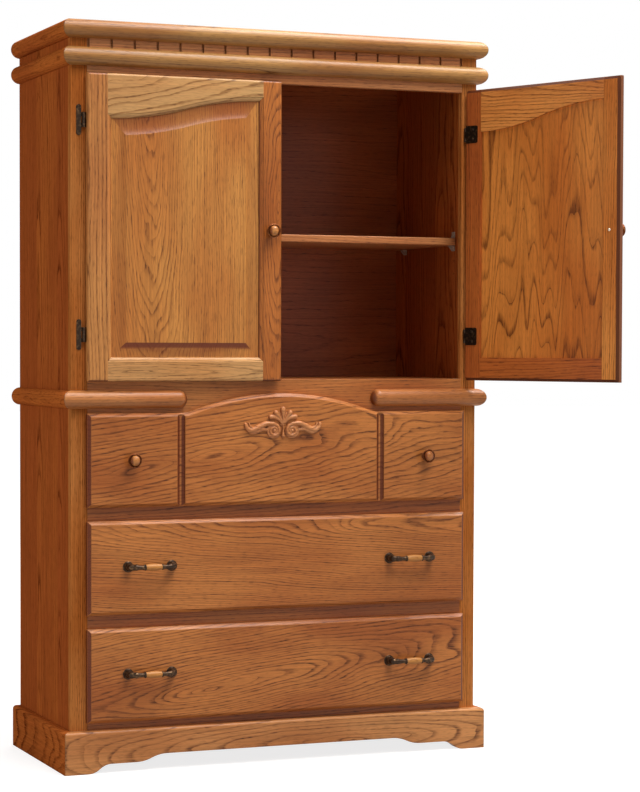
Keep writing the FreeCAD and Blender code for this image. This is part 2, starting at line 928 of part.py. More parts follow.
def flute(x, low, high):
    """Round-bottomed vertical flute with a round upper end, to be cut from a drawer front."""
    radius = (flute_width ** 2 / 4 + flute_depth ** 2) / (2 * flute_depth)
    middle_y = drawer_front_y + flute_depth - radius
    run = Part.makeCylinder(radius, high - low + margin, point(x, middle_y, low - margin), UP)
    end = Part.makeSphere(radius, point(x, middle_y, high))
    return run.fuse(end)


def drawer_box(level):
    """Two sides, two ends and a floor let into grooves, as separate boards."""
    outer = opening_x - slide_space
    inner = outer - box_board
    low = drawer_opening(level)[0] + slide_lift + slide_height - slide_foot_drop
    high = low + box_height
    start = drawer_back_y
    end = -box_back
    floor_low = low + box_floor_rise
    floor_reach = inner + box_floor_let
    floor_front = start + box_board - box_floor_let
    floor_back = end - box_board + box_floor_let
    floor_deep = (floor_front, floor_back)
    floor = block((-floor_reach, floor_reach), floor_deep, (floor_low, floor_low + box_floor))
    walls = [
        block((-outer, -inner), (start, end), (low, high)),
        block((inner, outer), (start, end), (low, high)),
        block((-inner, inner), (start, start + box_board), (low, high)),
        block((-inner, inner), (end - box_board, end), (low, high)),
    ]
    boards = [wall.cut(floor) for wall in walls]
    return boards + [floor]


def drilled(solids, places):
    """Solids with a clearance hole for a screw from behind wherever one of the places meets them."""
    result = []
    for solid in solids:
        for place in places:
            hole = back_screw_hole(place, fixing_depth)
            if solid.BoundBox.intersect(hole.BoundBox):
                solid = solid.cut(hole)
        result.append(solid)
    return result


# Slides, drawn on the right side of a drawer


def slide_place(level, inward, along, rise):
    """A point of a slide: inward from the cleat's face, along Y, and above the slide's lower edge."""
    return point(opening_x - inward, along, drawer_opening(level)[0] + slide_lift + rise)


def slide_bar(level, section, start):
    """A folded steel bar of one section, from a start to the rear end of the slides."""
    face = polygon([slide_place(level, inward, start, rise) for inward, rise in section])
    return face.extrude(BACK * (-slide_back - start))


def slide_cleat(level):
    """Wooden cleat that carries a slide flush with the frame opening."""
    low = drawer_opening(level)[0]
    return block((opening_x, inner_x), (frame_back_y, -cleat_back), (low, low + cleat_height))


def roller(centre, axle_start, axle_end):
    """Nylon roller with its axle, both along X."""
    start = centre - RIGHT * (roller_width / 2)
    wheel = Part.makeCylinder(roller_radius, roller_width, start, RIGHT)
    low = min(axle_start, axle_end)
    axle = Part.makeCylinder(axle_radius, abs(axle_end - axle_start), point(low, centre.y, centre.z), RIGHT)
    return wheel.fuse(axle)


def case_rail(level):
    """Channel screwed to the cleat, with a roller at its front end."""
    start = frame_back_y + slide_front
    top = slide_height
    inner = slide_sheet
    section = [
        (0, 0), (slide_flange, 0), (slide_flange, inner), (inner, inner),
        (inner, top - inner), (slide_flange, top - inner), (slide_flange, top), (0, top),
    ]
    channel = slide_bar(level, section, start)
    rise = slide_height - 2 * slide_sheet - slide_gap - roller_gap - roller_radius
    centre = slide_place(level, roller_inset + roller_width / 2, start + roller_end, rise)
    return [channel, roller(centre, centre.x, opening_x - slide_sheet)]


def drawer_rail(level):
    """Rail under the drawer side: a lip that runs on the case roller, a web, a foot and a rear roller."""
    start = frame_back_y
    web = slide_space - slide_sheet
    lip_top = slide_height - slide_sheet - slide_gap
    lip_low = lip_top - slide_sheet
    foot_top = slide_height - slide_foot_drop
    foot_low = foot_top - slide_sheet
    foot_tip = slide_space + slide_foot_reach
    section = [
        (slide_lip_tip, lip_low), (web, lip_low), (web, foot_low), (foot_tip, foot_low),
        (foot_tip, foot_top), (slide_space, foot_top), (slide_space, lip_top), (slide_lip_tip, lip_top),
    ]
    rail = slide_bar(level, section, start)
    rise = slide_sheet + roller_gap + roller_radius
    centre = slide_place(level, roller_inset + roller_width / 2, -slide_back - roller_end, rise)
    return [rail, roller(centre, centre.x, opening_x - web)]


# Carved shell


def on_face(x, rise):
    """A point of the carving on the face of the top drawer."""
    return point(x, drawer_front_y, top_front_edge + arch_rise - shell_drop + rise)


def half_round(start, end, start_radius, end_radius):
    """Half of a tapering round bar that lies on the drawer's face, domed at its far end."""
    along = (end - start).normalize()
    beside = along.cross(BACK)
    brow = end + (along + beside).normalize() * end_radius
    edges = [
        line(start, start + beside * start_radius),
        line(start + beside * start_radius, end + beside * end_radius),
        arc(end + beside * end_radius, brow, end + along * end_radius),
        line(end + along * end_radius, start),
    ]
    return filled(edges).revolve(start, along, 180)


def half_disc(centre, outward, radius):
    """Half-round section standing on the drawer's face."""
    left = centre - outward * radius
    right = centre + outward * radius
    return filled([arc(left, centre - BACK * radius, right), line(right, left)])


def half_ball(centre, radius):
    """Half of a ball on the drawer's face."""
    side = centre + RIGHT * radius
    crown = centre - BACK * radius
    brow = centre + (RIGHT - BACK).normalize() * radius
    quarter = filled([line(centre, side), arc(side, brow, crown), line(crown, centre)])
    return quarter.revolve(centre, BACK, 360)


def volute():
    """Right-hand volute: a half-round ring about a domed eye."""
    eye = on_face(volute_spread, volute_rise)
    ring = half_disc(eye + RIGHT * volute_ring, RIGHT, volute_rib).revolve(eye, BACK, 360)
    return ring.fuse(half_ball(eye, volute_eye))


def leaf_arm():
    """Right-hand leaf arm: a half-round rib that falls away from the volute and lifts again to its tip."""
    start = on_face(*arm_start)
    fall_centre = start - UP * arm_fall_radius
    fall = half_disc(start, UP, arm_rib).revolve(fall_centre, BACK, arm_fall_angle)
    turn = math.radians(arm_fall_angle)
    outward = point(math.sin(turn), 0, math.cos(turn))
    meet = fall_centre + outward * arm_fall_radius
    lift_centre = meet + outward * arm_lift_radius
    lift = half_disc(meet, outward, arm_rib).revolve(lift_centre, BACK, -arm_lift_angle)
    last = math.radians(arm_fall_angle - arm_lift_angle)
    tip = lift_centre - point(math.sin(last), 0, math.cos(last)) * arm_lift_radius
    return half_ball(start, arm_rib).multiFuse([fall, lift, half_ball(tip, arm_rib)])


def carved_shell():
    """Fan, stem, volutes and leaf arms in one carved piece with a flat back."""
    root = on_face(0, lobe_root_rise)
    lobes = [half_round(root, on_face(x, rise), lobe_root_radius, lobe_tip_radius) for x, rise in lobe_tips]
    lobes += [mirrored(side) for side in lobes[1:]]
    stem = half_round(on_face(0, stem_foot_rise), root, stem_foot_radius, stem_top_radius)
    return stem.multiFuse(lobes + pair(volute()) + pair(leaf_arm())).removeSplitter()


# Assembly


def case_nodes():
    """Boards, frame, mouldings, plinth, shelf and fixed hardware of the case."""
    rail_spans = [(drawer_opening(level)[1], drawer_opening(level + 1)[0]) for level in (0, 1)]
    case_rails = [part for level in range(drawer_count) for part in case_rail(level)]
    side = side_panel()
    inside_x = (-inner_x, inner_x)
    inside_y = (frame_back_y, -back_thickness)
    bottom_top = drawer_opening(0)[0]
    frame_screws = [wood_screw(place, BACK * -1) for place in frame_screw_places()]
    leaves = [frame_leaf(z) for z in hinge_heights]
    pins = [hinge_pin(z) for z in hinge_heights]
    clips = [shelf_clip(y) for y in (clip_front_y, clip_back_y)]
    return {
        "left_side_panel": [mirrored(side)],
        "right_side_panel": [side],
        "back_panel": [back_panel()],
        "top_panel": [block((-half_width, half_width), (front_y, 0), (case_top, body_height))],
        "tv_deck": [block(inside_x, inside_y, (deck_top - board, deck_top))],
        "bottom_panel": [block(inside_x, inside_y, (bottom_top - bottom_thickness, bottom_top))],
        "frame_stiles": pair(frame_stile()),
        "dentil_top_rail": [dentil_rail()],
        "waist_rail": [frame_rail(top_front_edge - overlay, deck_top)],
        "drawer_rails": [frame_rail(*span) for span in rail_spans],
        "bottom_rail": [frame_rail(foot_gap, bottom_top)],
        "crown_upper_front": [bead_front(crown_upper_middle)],
        "crown_upper_returns": pair(bead_return(crown_upper_middle)),
        "crown_lower_front": [bead_front(crown_lower_middle)],
        "crown_lower_returns": pair(bead_return(crown_lower_middle)),
        "waist_bead_front": pair(waist_front()),
        "waist_bead_returns": pair(bead_return(waist_middle)),
        "plinth_front": [plinth_front()],
        "plinth_sides": pair(plinth_side()),
        "plinth_back": [block(inside_x, (-board, 0), (0, back_foot_height))],
        "shelf": [shelf_board()],
        "shelf_clips": clips + [mirrored(clip) for clip in clips],
        "hinge_frame_leaves": leaves + [mirrored(leaf) for leaf in leaves],
        "hinge_pins": pins + [mirrored(pin) for pin in pins],
        "hinge_frame_screws": frame_screws + [mirrored(screw) for screw in frame_screws],
        "slide_cleats": [solid for level in range(drawer_count) for solid in pair(slide_cleat(level))],
        "slide_case_rails": [solid for part in case_rails for solid in pair(part)],
    }


def door_nodes(name, right):
    """Pieces of one door."""
    stiles, top_rail, low_rail = door_frame()
    place = door_knob_place()
    screws = [wood_screw(spot, BACK) for spot in door_screw_places()]
    pieces = {
        "stiles": stiles,
        "top_rail": [top_rail],
        "bottom_rail": [low_rail],
        "panel": [door_panel()],
        "knob": [knob(place)],
        "knob_foot": knob_set([place], door_thickness),
        "hinge_leaves": [door_leaf(z) for z in hinge_heights],
        "hinge_screws": screws,
    }
    return {name + "_" + key: hung(solids, right) for key, solids in pieces.items()}


def top_drawer_nodes():
    """Arched drawer with its carving, knobs, box and rails."""
    level = drawer_count - 1
    middle = drawer_bottoms[level] + front_height / 2
    spread = front_reach - drawer_knob_inset
    places = [point(side * spread, drawer_front_y, middle) for side in (-1, 1)]
    return {
        "top_drawer_front": drilled([arched_front()], places),
        "top_drawer_shell": [carved_shell()],
        "top_drawer_box": drilled(drawer_box(level), places),
        "top_drawer_knobs": [knob(place) for place in places],
        "top_drawer_knob_feet": knob_set(places, fixing_depth),
        "top_drawer_rails": [solid for part in drawer_rail(level) for solid in pair(part)],
    }


def plain_drawer_nodes(name, level):
    """Plain drawer with its two pulls, box and rails."""
    feet = [foot for place in pull_places(level) for foot in pull_feet(place)]
    return {
        name + "_front": drilled([plain_front(level)], feet),
        name + "_box": drilled(drawer_box(level), feet),
        name + "_pulls": pull_set(level),
        name + "_grips": [pull_grip(place) for place in pull_places(level)],
        name + "_rails": [solid for part in drawer_rail(level) for solid in pair(part)],
    }


def main():
    """Build every node and write it as its own file."""
    os.makedirs("parts", exist_ok=True)
    nodes = case_nodes()
    nodes.update(door_nodes("left_door", False))
    nodes.update(door_nodes("right_door", True))
    nodes.update(top_drawer_nodes())
    nodes.update(plain_drawer_nodes("middle_drawer", 1))
    nodes.update(plain_drawer_nodes("lower_drawer", 0))
    for name, solids in nodes.items():
        shape = solids[0] if len(solids) == 1 else Part.makeCompound(solids)
        shape.exportStep("parts/" + name + ".step")


main()
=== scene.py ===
"""Dress an oak television armoire: stained boards, carved shell, bronze hardware, studio light and camera."""
import logging
import math
from collections.abc import Callable, Sequence
from dataclasses import dataclass, field
from enum import Enum
from functools import partial

import bmesh
import bpy
from bpy.types import Material, Mesh, NodeSocket, NodeTree, Object
from mathutils import Matrix, Vector


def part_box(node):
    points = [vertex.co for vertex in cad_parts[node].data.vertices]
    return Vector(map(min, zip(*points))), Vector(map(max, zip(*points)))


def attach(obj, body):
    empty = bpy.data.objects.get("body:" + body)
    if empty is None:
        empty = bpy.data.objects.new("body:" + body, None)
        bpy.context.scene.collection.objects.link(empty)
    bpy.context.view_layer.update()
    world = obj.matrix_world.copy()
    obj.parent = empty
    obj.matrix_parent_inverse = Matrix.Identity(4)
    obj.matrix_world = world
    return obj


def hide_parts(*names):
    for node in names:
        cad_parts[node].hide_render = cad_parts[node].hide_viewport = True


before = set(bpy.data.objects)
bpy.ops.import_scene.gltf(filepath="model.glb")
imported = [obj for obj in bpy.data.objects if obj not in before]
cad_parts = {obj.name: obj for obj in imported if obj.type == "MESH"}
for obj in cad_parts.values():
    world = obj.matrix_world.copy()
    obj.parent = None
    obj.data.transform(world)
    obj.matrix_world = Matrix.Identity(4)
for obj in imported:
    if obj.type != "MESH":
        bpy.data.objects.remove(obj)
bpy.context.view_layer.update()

LOG = logging.getLogger("armoire")
MM = 0.001
# How far the right-hand door stands open, and its hinge axis in metres.
RIGHT_DOOR_TURN = math.radians(111.4)
RIGHT_HINGE = Vector((0.501, -0.459, 0.0))
# Heights of the hinges' middles and Y of the drawers' faces, in millimetres.
HINGE_HEIGHTS = (1047.5, 1555.5)
DRAWER_FACE = -473.5
FORWARD = Vector((0.0, -1.0, 0.0))

# Shift of the patterns from one seed to the next, and how it differs on the three axes.
SEED_STEP = 5.7
SEED_AXES = (1.0, 1.3, 0.7)

# Adds a node to one tree: add_node with its tree given.
Adder = Callable[..., bpy.types.bpy_prop_collection]
# Radius and distance along a turning axis, from one end of a turned solid to the other.
Profile = Sequence[tuple[float, float]]
# Positions and sizes along a run.
Stations = Sequence[tuple[float, ...]]


def linear(hex_colour: str) -> tuple[float, float, float, float]:
    """Turn an sRGB hex colour into linear RGBA.

    Args:
        hex_colour: Six hex digits after a hash sign.

    Returns:
        Linear red, green, blue and an alpha of one.
    """
    channels = [int(hex_colour[start:start + 2], 16) / 255 for start in (1, 3, 5)]
    lit = [c / 12.92 if c <= 0.04045 else ((c + 0.055) / 1.055) ** 2.4 for c in channels]
    return lit[0], lit[1], lit[2], 1.0


def add_node(
    tree: NodeTree, kind: str, inputs: dict | None = None, **settings: object,
) -> bpy.types.bpy_prop_collection:
    """Add a node with its settings, and link or set its inputs.

    Args:
        tree: The tree that gets the node.
        kind: Blender's name of the node type.
        inputs: Sockets to link, or plain values to set, by socket name or number; a list links them all.
        **settings: Attributes of the node.

    Returns:
        The new node's outputs.
    """
    node = tree.nodes.new(kind)
    for key, value in settings.items():
        setattr(node, key, value)
    for key, value in (inputs or {}).items():
        for source in value if isinstance(value, list) else [value]:
            if isinstance(source, NodeSocket):
                tree.links.new(source, node.inputs[key])
            else:
                node.inputs[key].default_value = source
    return node.outputs


def new_material(name: str) -> tuple[Material, Adder]:
    """Make an empty node material.

    Args:
        name: The finish's name.

    Returns:
        The material, and the function that adds a node to it.
    """
    material = bpy.data.materials.new(name)
    material.use_nodes = True
    material.node_tree.nodes.clear()
    return material, partial(add_node, material.node_tree)


class Grain(Enum):
    """Axes along the grain, across the face and through the board."""

    ALONG_FRONT = "XZY"
    UPRIGHT_FRONT = "ZXY"
    UPRIGHT_SIDE = "ZYX"
    DEEP_SIDE = "YZX"
    FLAT = "XYZ"

    def stretch(self, along: float, across: float) -> tuple[float, float, float]:
        """Scale of a pattern on X, Y and Z, from its sizes in millimetres along and across the grain."""
        sizes = {self.value[0]: along, self.value[1]: across, self.value[2]: across}
        return 1 / sizes["X"], 1 / sizes["Y"], 1 / sizes["Z"]


@dataclass(frozen=True)
class Stain:
    """Colours that one stain gives to a wood.

    The wood between the rings runs from warm to red, the open early wood of each ring is the line, the pores
    hold the most stain, and cut ends drink it and turn dark.
    """

    name: str
    warm: str
    red: str
    line: str
    pore: str
    end: str


HONEY = Stain("honey_oak", "#C98850", "#B06A36", "#6C3816", "#46200C", "#5C260C")
TAWNY = Stain("tawny_oak", "#B1824A", "#9B6532", "#5E3314", "#40200C", "#5C260C")
CHESTNUT = Stain("chestnut_oak", "#C1783D", "#A35A28", "#57270D", "#381708", "#5A1F08")
AMBER = Stain("amber_oak", "#DD8E46", "#C67030", "#7C3E15", "#55270C", "#6A2E10")
PALE = Stain("pale_oak", "#D2A067", "#C4884E", "#6C4420", "#542F12", "#8A4A20")
WHEAT = Stain("wheat_oak", "#C28246", "#B06B37", "#70380F", "#4C240C", "#6A3012")
FLAXEN = Stain("flaxen_oak", "#C69A63", "#B9834D", "#784A1E", "#5A3414", "#6E3A18")
RUDDY = Stain("ruddy_oak", "#B56A2F", "#9A511D", "#5C2A0E", "#3E1B0A", "#4E1E09")
HAZEL = Stain("hazel_oak", "#C57D42", "#AE612A", "#6A3412", "#46200C", "#5C260C")
AUBURN = Stain("auburn_oak", "#BD783F", "#A65D28", "#6A3412", "#46200C", "#5C260C")
COPPER = Stain("copper_oak", "#D48239", "#BE6827", "#602A0C", "#50230A", "#6A2E10")
GOLDEN = Stain("golden_oak", "#C88743", "#B66E31", "#763E16", "#52270C", "#702A0A")
RUSSET = Stain("russet_oak", "#A8622F", "#8E4A22", "#5E2A0F", "#401A08", "#581F08")
BLOND = Stain("blond_oak", "#C98F4C", "#B87636", "#8E5022", "#6A3A16", "#6A3212")
CARVED = Stain("carved_oak", "#CC8A56", "#BC7442", "#7A3C18", "#5E2E13", "#965830")
SIENNA = Stain("sienna_oak", "#B9642B", "#A65325", "#6C2C0F", "#4A1C08", "#5C2009")
CELLAR = Stain("shaded_oak", "#B56134", "#964B26", "#6D3018", "#4D2210", "#5A2410")
BIRCH = Stain("birch_ply", "#D8B88A", "#CFA874", "#B48A58", "#A57C4C", "#B08A5C")

# Dark colour on the doors' slanted back edges.
DARK_EDGE = "#4A2110"


@dataclass(frozen=True)
class Figure:
    """How the growth rings meet the face of a board; sizes in millimetres.

    Attributes:
        ring: Spacing of the growth rings.
        heart: Where the heart of the log is nearest to the face, along and across, from the board's middle.
        depth: How far the heart lies behind the face there.
        lean: Slope of the heart into the board, which draws the pointed arches.
        drift: Slope of the heart across the board.
        flat: How much the distance across counts; less than one draws steep flames.
        sway: Slow wander of the rings.
        flame: Waviness of the rings in depth, which draws eyes and flames.
        flame_size: Length of those waves along and across the grain.
        ripple: Quick waviness of the rings.
        board: Width of each glued-up board, or nought for a single one.
        bold: How dark the ring lines stand, from nought to one.
        seed: Place in the random patterns.
    """

    ring: float = 6.0
    heart: tuple[float, float] = (0.0, 300.0)
    depth: float = 40.0
    lean: float = 0.05
    drift: float = 0.0
    flat: float = 1.0
    sway: float = 8.0
    flame: float = 4.0
    flame_size: tuple[float, float] = (240.0, 90.0)
    ripple: float = 1.6
    board: float = 0.0
    bold: float = 1.0
    seed: float = 0.0


@dataclass(frozen=True)
class Pattern:
    """Noise that is drawn out along the grain.

    Attributes:
        size: Its size along and across the grain, in millimetres.
        detail: Octaves of noise.
        offset: Shift that keeps it apart from the other patterns.
    """

    size: tuple[float, float]
    detail: float
    offset: float


@dataclass(frozen=True)
class OakFinish:
    """Flat-sawn red oak under stain and satin lacquer: open-pored ring lines, dark cut ends, a soft sheen.

    Attributes:
        stain: Colours of the wood.
        grain: How the grain runs.
        figure: How the growth rings meet the face.
        sway: Slow wander of the rings.
        ripple: Their quick waviness.
        broken: Gaps in the ring lines.
        pore: Open pores. They are about 0.3 mm wide and drawn coarser, because they would vanish in the render.
        streak: Fine light and dark streaks.
        cloud: Slow changes from the warm colour to the red one.
        early_wood: Width of the ring lines, in millimetres.
        early_most: The most of a ring's width that its line takes.
        pore_spread: How many of the pores lie between the ring lines, from nought to one.
        pore_fill: How much stain the pores hold, from nought to one.
        fat_years: Number of rings over which their width changes, and by how many rings.
        board_start: How much of a panel's first board is cut away, from nought to one.
        board_jump: How far apart the boards of a panel are cut from the log, in millimetres.
        board_tone: How much each board of a panel has a tone of its own, from nought to one.
        roughness: Least where the wood is closed, most where it is open.
        gloss: Specular level.
        coat: Weight of the lacquer.
        coat_roughness: Its roughness.
        easing: Radius of the edges, in millimetres.
        long_edge: Colour of the edges along the grain, where it differs.
        slant: How dark surfaces turn that slant a little towards the ends of the grain.
        slant_range: Slants at which that starts and is complete.
        side_slant: The same for surfaces that slant sideways.
        run_down: Painted shade on surfaces that slant towards the lower end.
        eased_back: Colour of the slanted edges at the back, where it differs.
        hollow: Reach of the painted shade in hollows, in millimetres.
        rub: How much the stain is rubbed thin along the edges.
    """

    stain: Stain
    grain: Grain
    figure: Figure
    sway: Pattern = Pattern((420.0, 130.0), detail=2.0, offset=0.0)
    ripple: Pattern = Pattern((60.0, 16.0), detail=2.0, offset=7.3)
    broken: Pattern = Pattern((80.0, 4.0), detail=1.0, offset=13.3)
    pore: Pattern = Pattern((20.0, 2.8), detail=1.0, offset=3.1)
    streak: Pattern = Pattern((260.0, 4.5), detail=2.0, offset=17.2)
    cloud: Pattern = Pattern((380.0, 150.0), detail=2.0, offset=11.9)
    early_wood: float = 3.0
    early_most: float = 0.45
    pore_spread: float = 0.2
    pore_fill: float = 0.95
    fat_years: tuple[float, float] = (7.0, 3.5)
    board_start: float = 0.37
    board_jump: float = 900.0
    board_tone: float = 0.45
    roughness: tuple[float, float] = (0.4, 0.56)
    gloss: float = 0.12
    coat: float = 0.3
    coat_roughness: float = 0.3
    easing: float = 3.5
    long_edge: str = ""
    slant: float = 0.0
    slant_range: tuple[float, float] = (0.005, 0.03)
    side_slant: float = 0.0
    run_down: float = 0.0
    eased_back: str = ""
    hollow: float = 0.0
    rub: float = 0.22

    def material(self, name: str, centre: Vector, turn: float = 0.0) -> Material:
        """Build the finish for one piece.

        Args:
            name: Name of the piece.
            centre: Middle of the piece before any turn, in metres.
            turn: Angle by which the piece has swung about the right-hand hinge.

        Returns:
            The node material.
        """
        material, add = new_material(f"{self.stain.name}.{name}")
        back = Matrix.Rotation(-turn, 3, "Z")
        coordinate = add("ShaderNodeTexCoord")
        place = add("ShaderNodeMapping", {
            "Vector": coordinate["Object"], "Location": (RIGHT_HINGE - back @ RIGHT_HINGE - centre) / MM,
            "Rotation": (0.0, 0.0, -turn), "Scale": (1 / MM, 1 / MM, 1 / MM),
        })[0]
        axes = add("ShaderNodeSeparateXYZ", {0: place})
        along, across, through = (axes[axis] for axis in self.grain.value)
        tone = None
        if self.figure.board:
            along, across, tone = self._boards(add, along, across)
        ring = self._rings(add, place, along, across, through)
        pores = add("ShaderNodeMapRange", {
            "Value": self._noise(add, place, self.pore), "From Min": 0.5, "From Max": 0.68,
        }, interpolation_type="SMOOTHSTEP")[0]
        early = add("ShaderNodeMath", {
            0: ring, 1: 1 - self.pore_spread, 2: self.pore_spread,
        }, operation="MULTIPLY_ADD")[0]
        pores = add("ShaderNodeMath", {0: pores, 1: early}, operation="MULTIPLY")[0]
        colour = self._colour(add, place, ring, pores, tone)
        colour = self._stain_faces(add, coordinate["Normal"], turn, colour)
        if self.hollow:
            colour = self._stain_hollows(add, colour)
        eased = add("ShaderNodeBevel", {"Radius": self.easing * MM}, samples=4)[0]
        colour = self._rub_edges(add, eased, colour)
        open_wood = add("ShaderNodeMath", {0: ring, 1: pores}, operation="ADD")[0]
        rough = add("ShaderNodeMapRange", {
            "Value": open_wood, "From Max": 1.6, "To Min": self.roughness[0], "To Max": self.roughness[1],
        })[0]
        relief = add("ShaderNodeBump", {
            "Height": open_wood, "Strength": 0.22, "Distance": 0.4 * MM, "Normal": eased,
        }, invert=True)[0]
        shader = add("ShaderNodeBsdfPrincipled", {
            "Base Color": colour, "Roughness": rough, "Normal": relief,
            "Specular IOR Level": self.gloss, "Coat Weight": self.coat, "Coat Roughness": self.coat_roughness,
        })
        add("ShaderNodeOutputMaterial", {"Surface": shader[0]})
        return material

    def _noise(self, add: Adder, place: NodeSocket, pattern: Pattern) -> NodeSocket:
        """Draw a pattern on the piece.

        Args:
            add: Adds a node to the material.
            place: Position on the piece in millimetres.
            pattern: Its size and detail.

        Returns:
            The noise's value, from nought to one.
        """
        start = self.figure.seed * SEED_STEP + pattern.offset
        stretched = add("ShaderNodeMapping", {
            "Vector": place, "Location": tuple(start * axis for axis in SEED_AXES),
            "Scale": self.grain.stretch(*pattern.size),
        })[0]
        return add("ShaderNodeTexNoise", {"Vector": stretched, "Scale": 1.0, "Detail": pattern.detail})[0]

    def _boards(
        self, add: Adder, along: NodeSocket, across: NodeSocket,
    ) -> tuple[NodeSocket, NodeSocket, NodeSocket]:
        """Split a wide panel into glued-up boards, each with a figure and a tone of its own.

        Args:
            add: Adds a node to the material.
            along: Position along the grain.
            across: Position across the face.

        Returns:
            Positions along and across each board, and its tone from nought to one.
        """
        count = add("ShaderNodeMath", {
            0: across, 1: 1 / self.figure.board, 2: self.figure.seed + self.board_start,
        }, operation="MULTIPLY_ADD")[0]
        number = add("ShaderNodeMath", {0: count}, operation="FLOOR")[0]
        chance = add("ShaderNodeTexWhiteNoise", {"W": number}, noise_dimensions="1D")
        parts = add("ShaderNodeSeparateColor", {0: chance["Color"]})
        within = add("ShaderNodeMath", {0: count}, operation="FRACT")[0]
        spread = add("ShaderNodeMath", {0: within, 1: parts[0]}, operation="SUBTRACT")[0]
        across = add("ShaderNodeMath", {0: spread, 1: self.figure.board}, operation="MULTIPLY")[0]
        along = add("ShaderNodeMath", {0: parts[1], 1: self.board_jump, 2: along}, operation="MULTIPLY_ADD")[0]
        return along, across, parts[2]

    def _rings(
        self, add: Adder, place: NodeSocket, along: NodeSocket,
        across: NodeSocket, through: NodeSocket,
    ) -> NodeSocket:
        """Draw the early wood of the growth rings around a leaning heart.

        Args:
            add: Adds a node to the material.
            place: Position on the piece in millimetres.
            along: Position along the grain.
            across: Position across the face.
            through: Position through the board.

        Returns:
            How much of the early wood shows, from nought to one.
        """
        figure = self.figure
        sway = self._noise(add, place, self.sway)
        flame = self._noise(add, place, Pattern(figure.flame_size, detail=1.0, offset=5.1))
        ripple = self._noise(add, place, self.ripple)
        run = add("ShaderNodeMath", {0: along, 1: figure.heart[0]}, operation="SUBTRACT")[0]
        side = add("ShaderNodeMath", {0: run, 1: -figure.drift, 2: across}, operation="MULTIPLY_ADD")[0]
        side = add("ShaderNodeMath", {0: sway, 1: 2 * figure.sway, 2: side}, operation="MULTIPLY_ADD")[0]
        side = add("ShaderNodeMath", {0: side, 1: figure.heart[1] + figure.sway}, operation="SUBTRACT")[0]
        side = add("ShaderNodeMath", {0: side, 1: figure.flat}, operation="MULTIPLY")[0]
        deep = add("ShaderNodeMath", {0: run, 1: figure.lean, 2: through}, operation="MULTIPLY_ADD")[0]
        deep = add("ShaderNodeMath", {0: flame, 1: 4 * figure.flame, 2: deep}, operation="MULTIPLY_ADD")[0]
        deep = add("ShaderNodeMath", {0: deep, 1: figure.depth - 2 * figure.flame}, operation="ADD")[0]
        corner = add("ShaderNodeCombineXYZ", {0: side, 1: deep})[0]
        reach = add("ShaderNodeVectorMath", {0: corner}, operation="LENGTH")["Value"]
        reach = add("ShaderNodeMath", {0: ripple, 1: 2 * figure.ripple, 2: reach}, operation="MULTIPLY_ADD")[0]
        spell, gain = self.fat_years
        years = add("ShaderNodeMath", {0: reach, 1: 1 / (spell * figure.ring)}, operation="MULTIPLY")[0]
        fat_years = add("ShaderNodeTexNoise", {"W": years, "Scale": 1.0}, noise_dimensions="1D")[0]
        count = add("ShaderNodeMath", {0: fat_years, 1: gain}, operation="MULTIPLY")[0]
        count = add("ShaderNodeMath", {0: reach, 1: 1 / figure.ring, 2: count}, operation="MULTIPLY_ADD")[0]
        year = add("ShaderNodeMath", {0: count}, operation="FLOOR")[0]
        season = add("ShaderNodeMath", {0: count}, operation="FRACT")[0]
        width = min(self.early_wood / figure.ring, self.early_most)
        spring = add("ShaderNodeMapRange", {
            "Value": season, "From Min": 0.0, "From Max": width, "To Min": 1.0, "To Max": 0.0,
        }, interpolation_type="SMOOTHSTEP")[0]
        onset = add("ShaderNodeMapRange", {
            "Value": season, "From Min": 0.9, "From Max": 1.0,
        }, interpolation_type="SMOOTHSTEP")[0]
        band = add("ShaderNodeMath", {0: spring, 1: onset}, operation="MAXIMUM")[0]
        chance = add("ShaderNodeTexWhiteNoise", {"W": year}, noise_dimensions="1D")["Value"]
        strength = add("ShaderNodeMapRange", {"Value": chance, "To Min": 0.25, "To Max": 1.0})[0]
        band = add("ShaderNodeMath", {0: band, 1: strength}, operation="MULTIPLY")[0]
        broken = add("ShaderNodeMapRange", {
            "Value": self._noise(add, place, self.broken),
            "From Min": 0.3, "From Max": 0.6, "To Min": 0.45, "To Max": 1.0,
        })[0]
        return add("ShaderNodeMath", {0: band, 1: broken}, operation="MULTIPLY")[0]

    def _colour(
        self, add: Adder, place: NodeSocket, ring: NodeSocket,
        pores: NodeSocket, tone: NodeSocket | None,
    ) -> NodeSocket:
        """Lay the stain over rings and pores.

        Args:
            add: Adds a node to the material.
            place: Position on the piece in millimetres.
            ring: Early wood, from nought to one.
            pores: Open pores, from nought to one.
            tone: Tone of each glued-up board, where there are several.

        Returns:
            The stained colour.
        """
        cloud = self._noise(add, place, self.cloud)
        if tone is not None:
            cloud = add("ShaderNodeMix", {0: self.board_tone, 2: cloud, 3: tone}, data_type="FLOAT")[0]
        cloud = add("ShaderNodeMapRange", {
            "Value": cloud, "From Min": 0.3, "From Max": 0.7,
        }, interpolation_type="SMOOTHSTEP")[0]
        colour = add("ShaderNodeMix", {
            0: cloud, 6: linear(self.stain.warm), 7: linear(self.stain.red),
        }, data_type="RGBA")[2]
        lines = add("ShaderNodeMath", {0: ring, 1: self.figure.bold}, operation="MULTIPLY")[0]
        colour = add("ShaderNodeMix", {0: lines, 6: colour, 7: linear(self.stain.line)}, data_type="RGBA")[2]
        filled = add("ShaderNodeMath", {0: pores, 1: self.pore_fill}, operation="MULTIPLY")[0]
        colour = add("ShaderNodeMix", {0: filled, 6: colour, 7: linear(self.stain.pore)}, data_type="RGBA")[2]
        streak = add("ShaderNodeMapRange", {
            "Value": self._noise(add, place, self.streak),
            "From Min": 0.3, "From Max": 0.7, "To Min": 0.88, "To Max": 1.17,
        })[0]
        return add("ShaderNodeVectorMath", {0: colour, "Scale": streak}, operation="SCALE")[0]

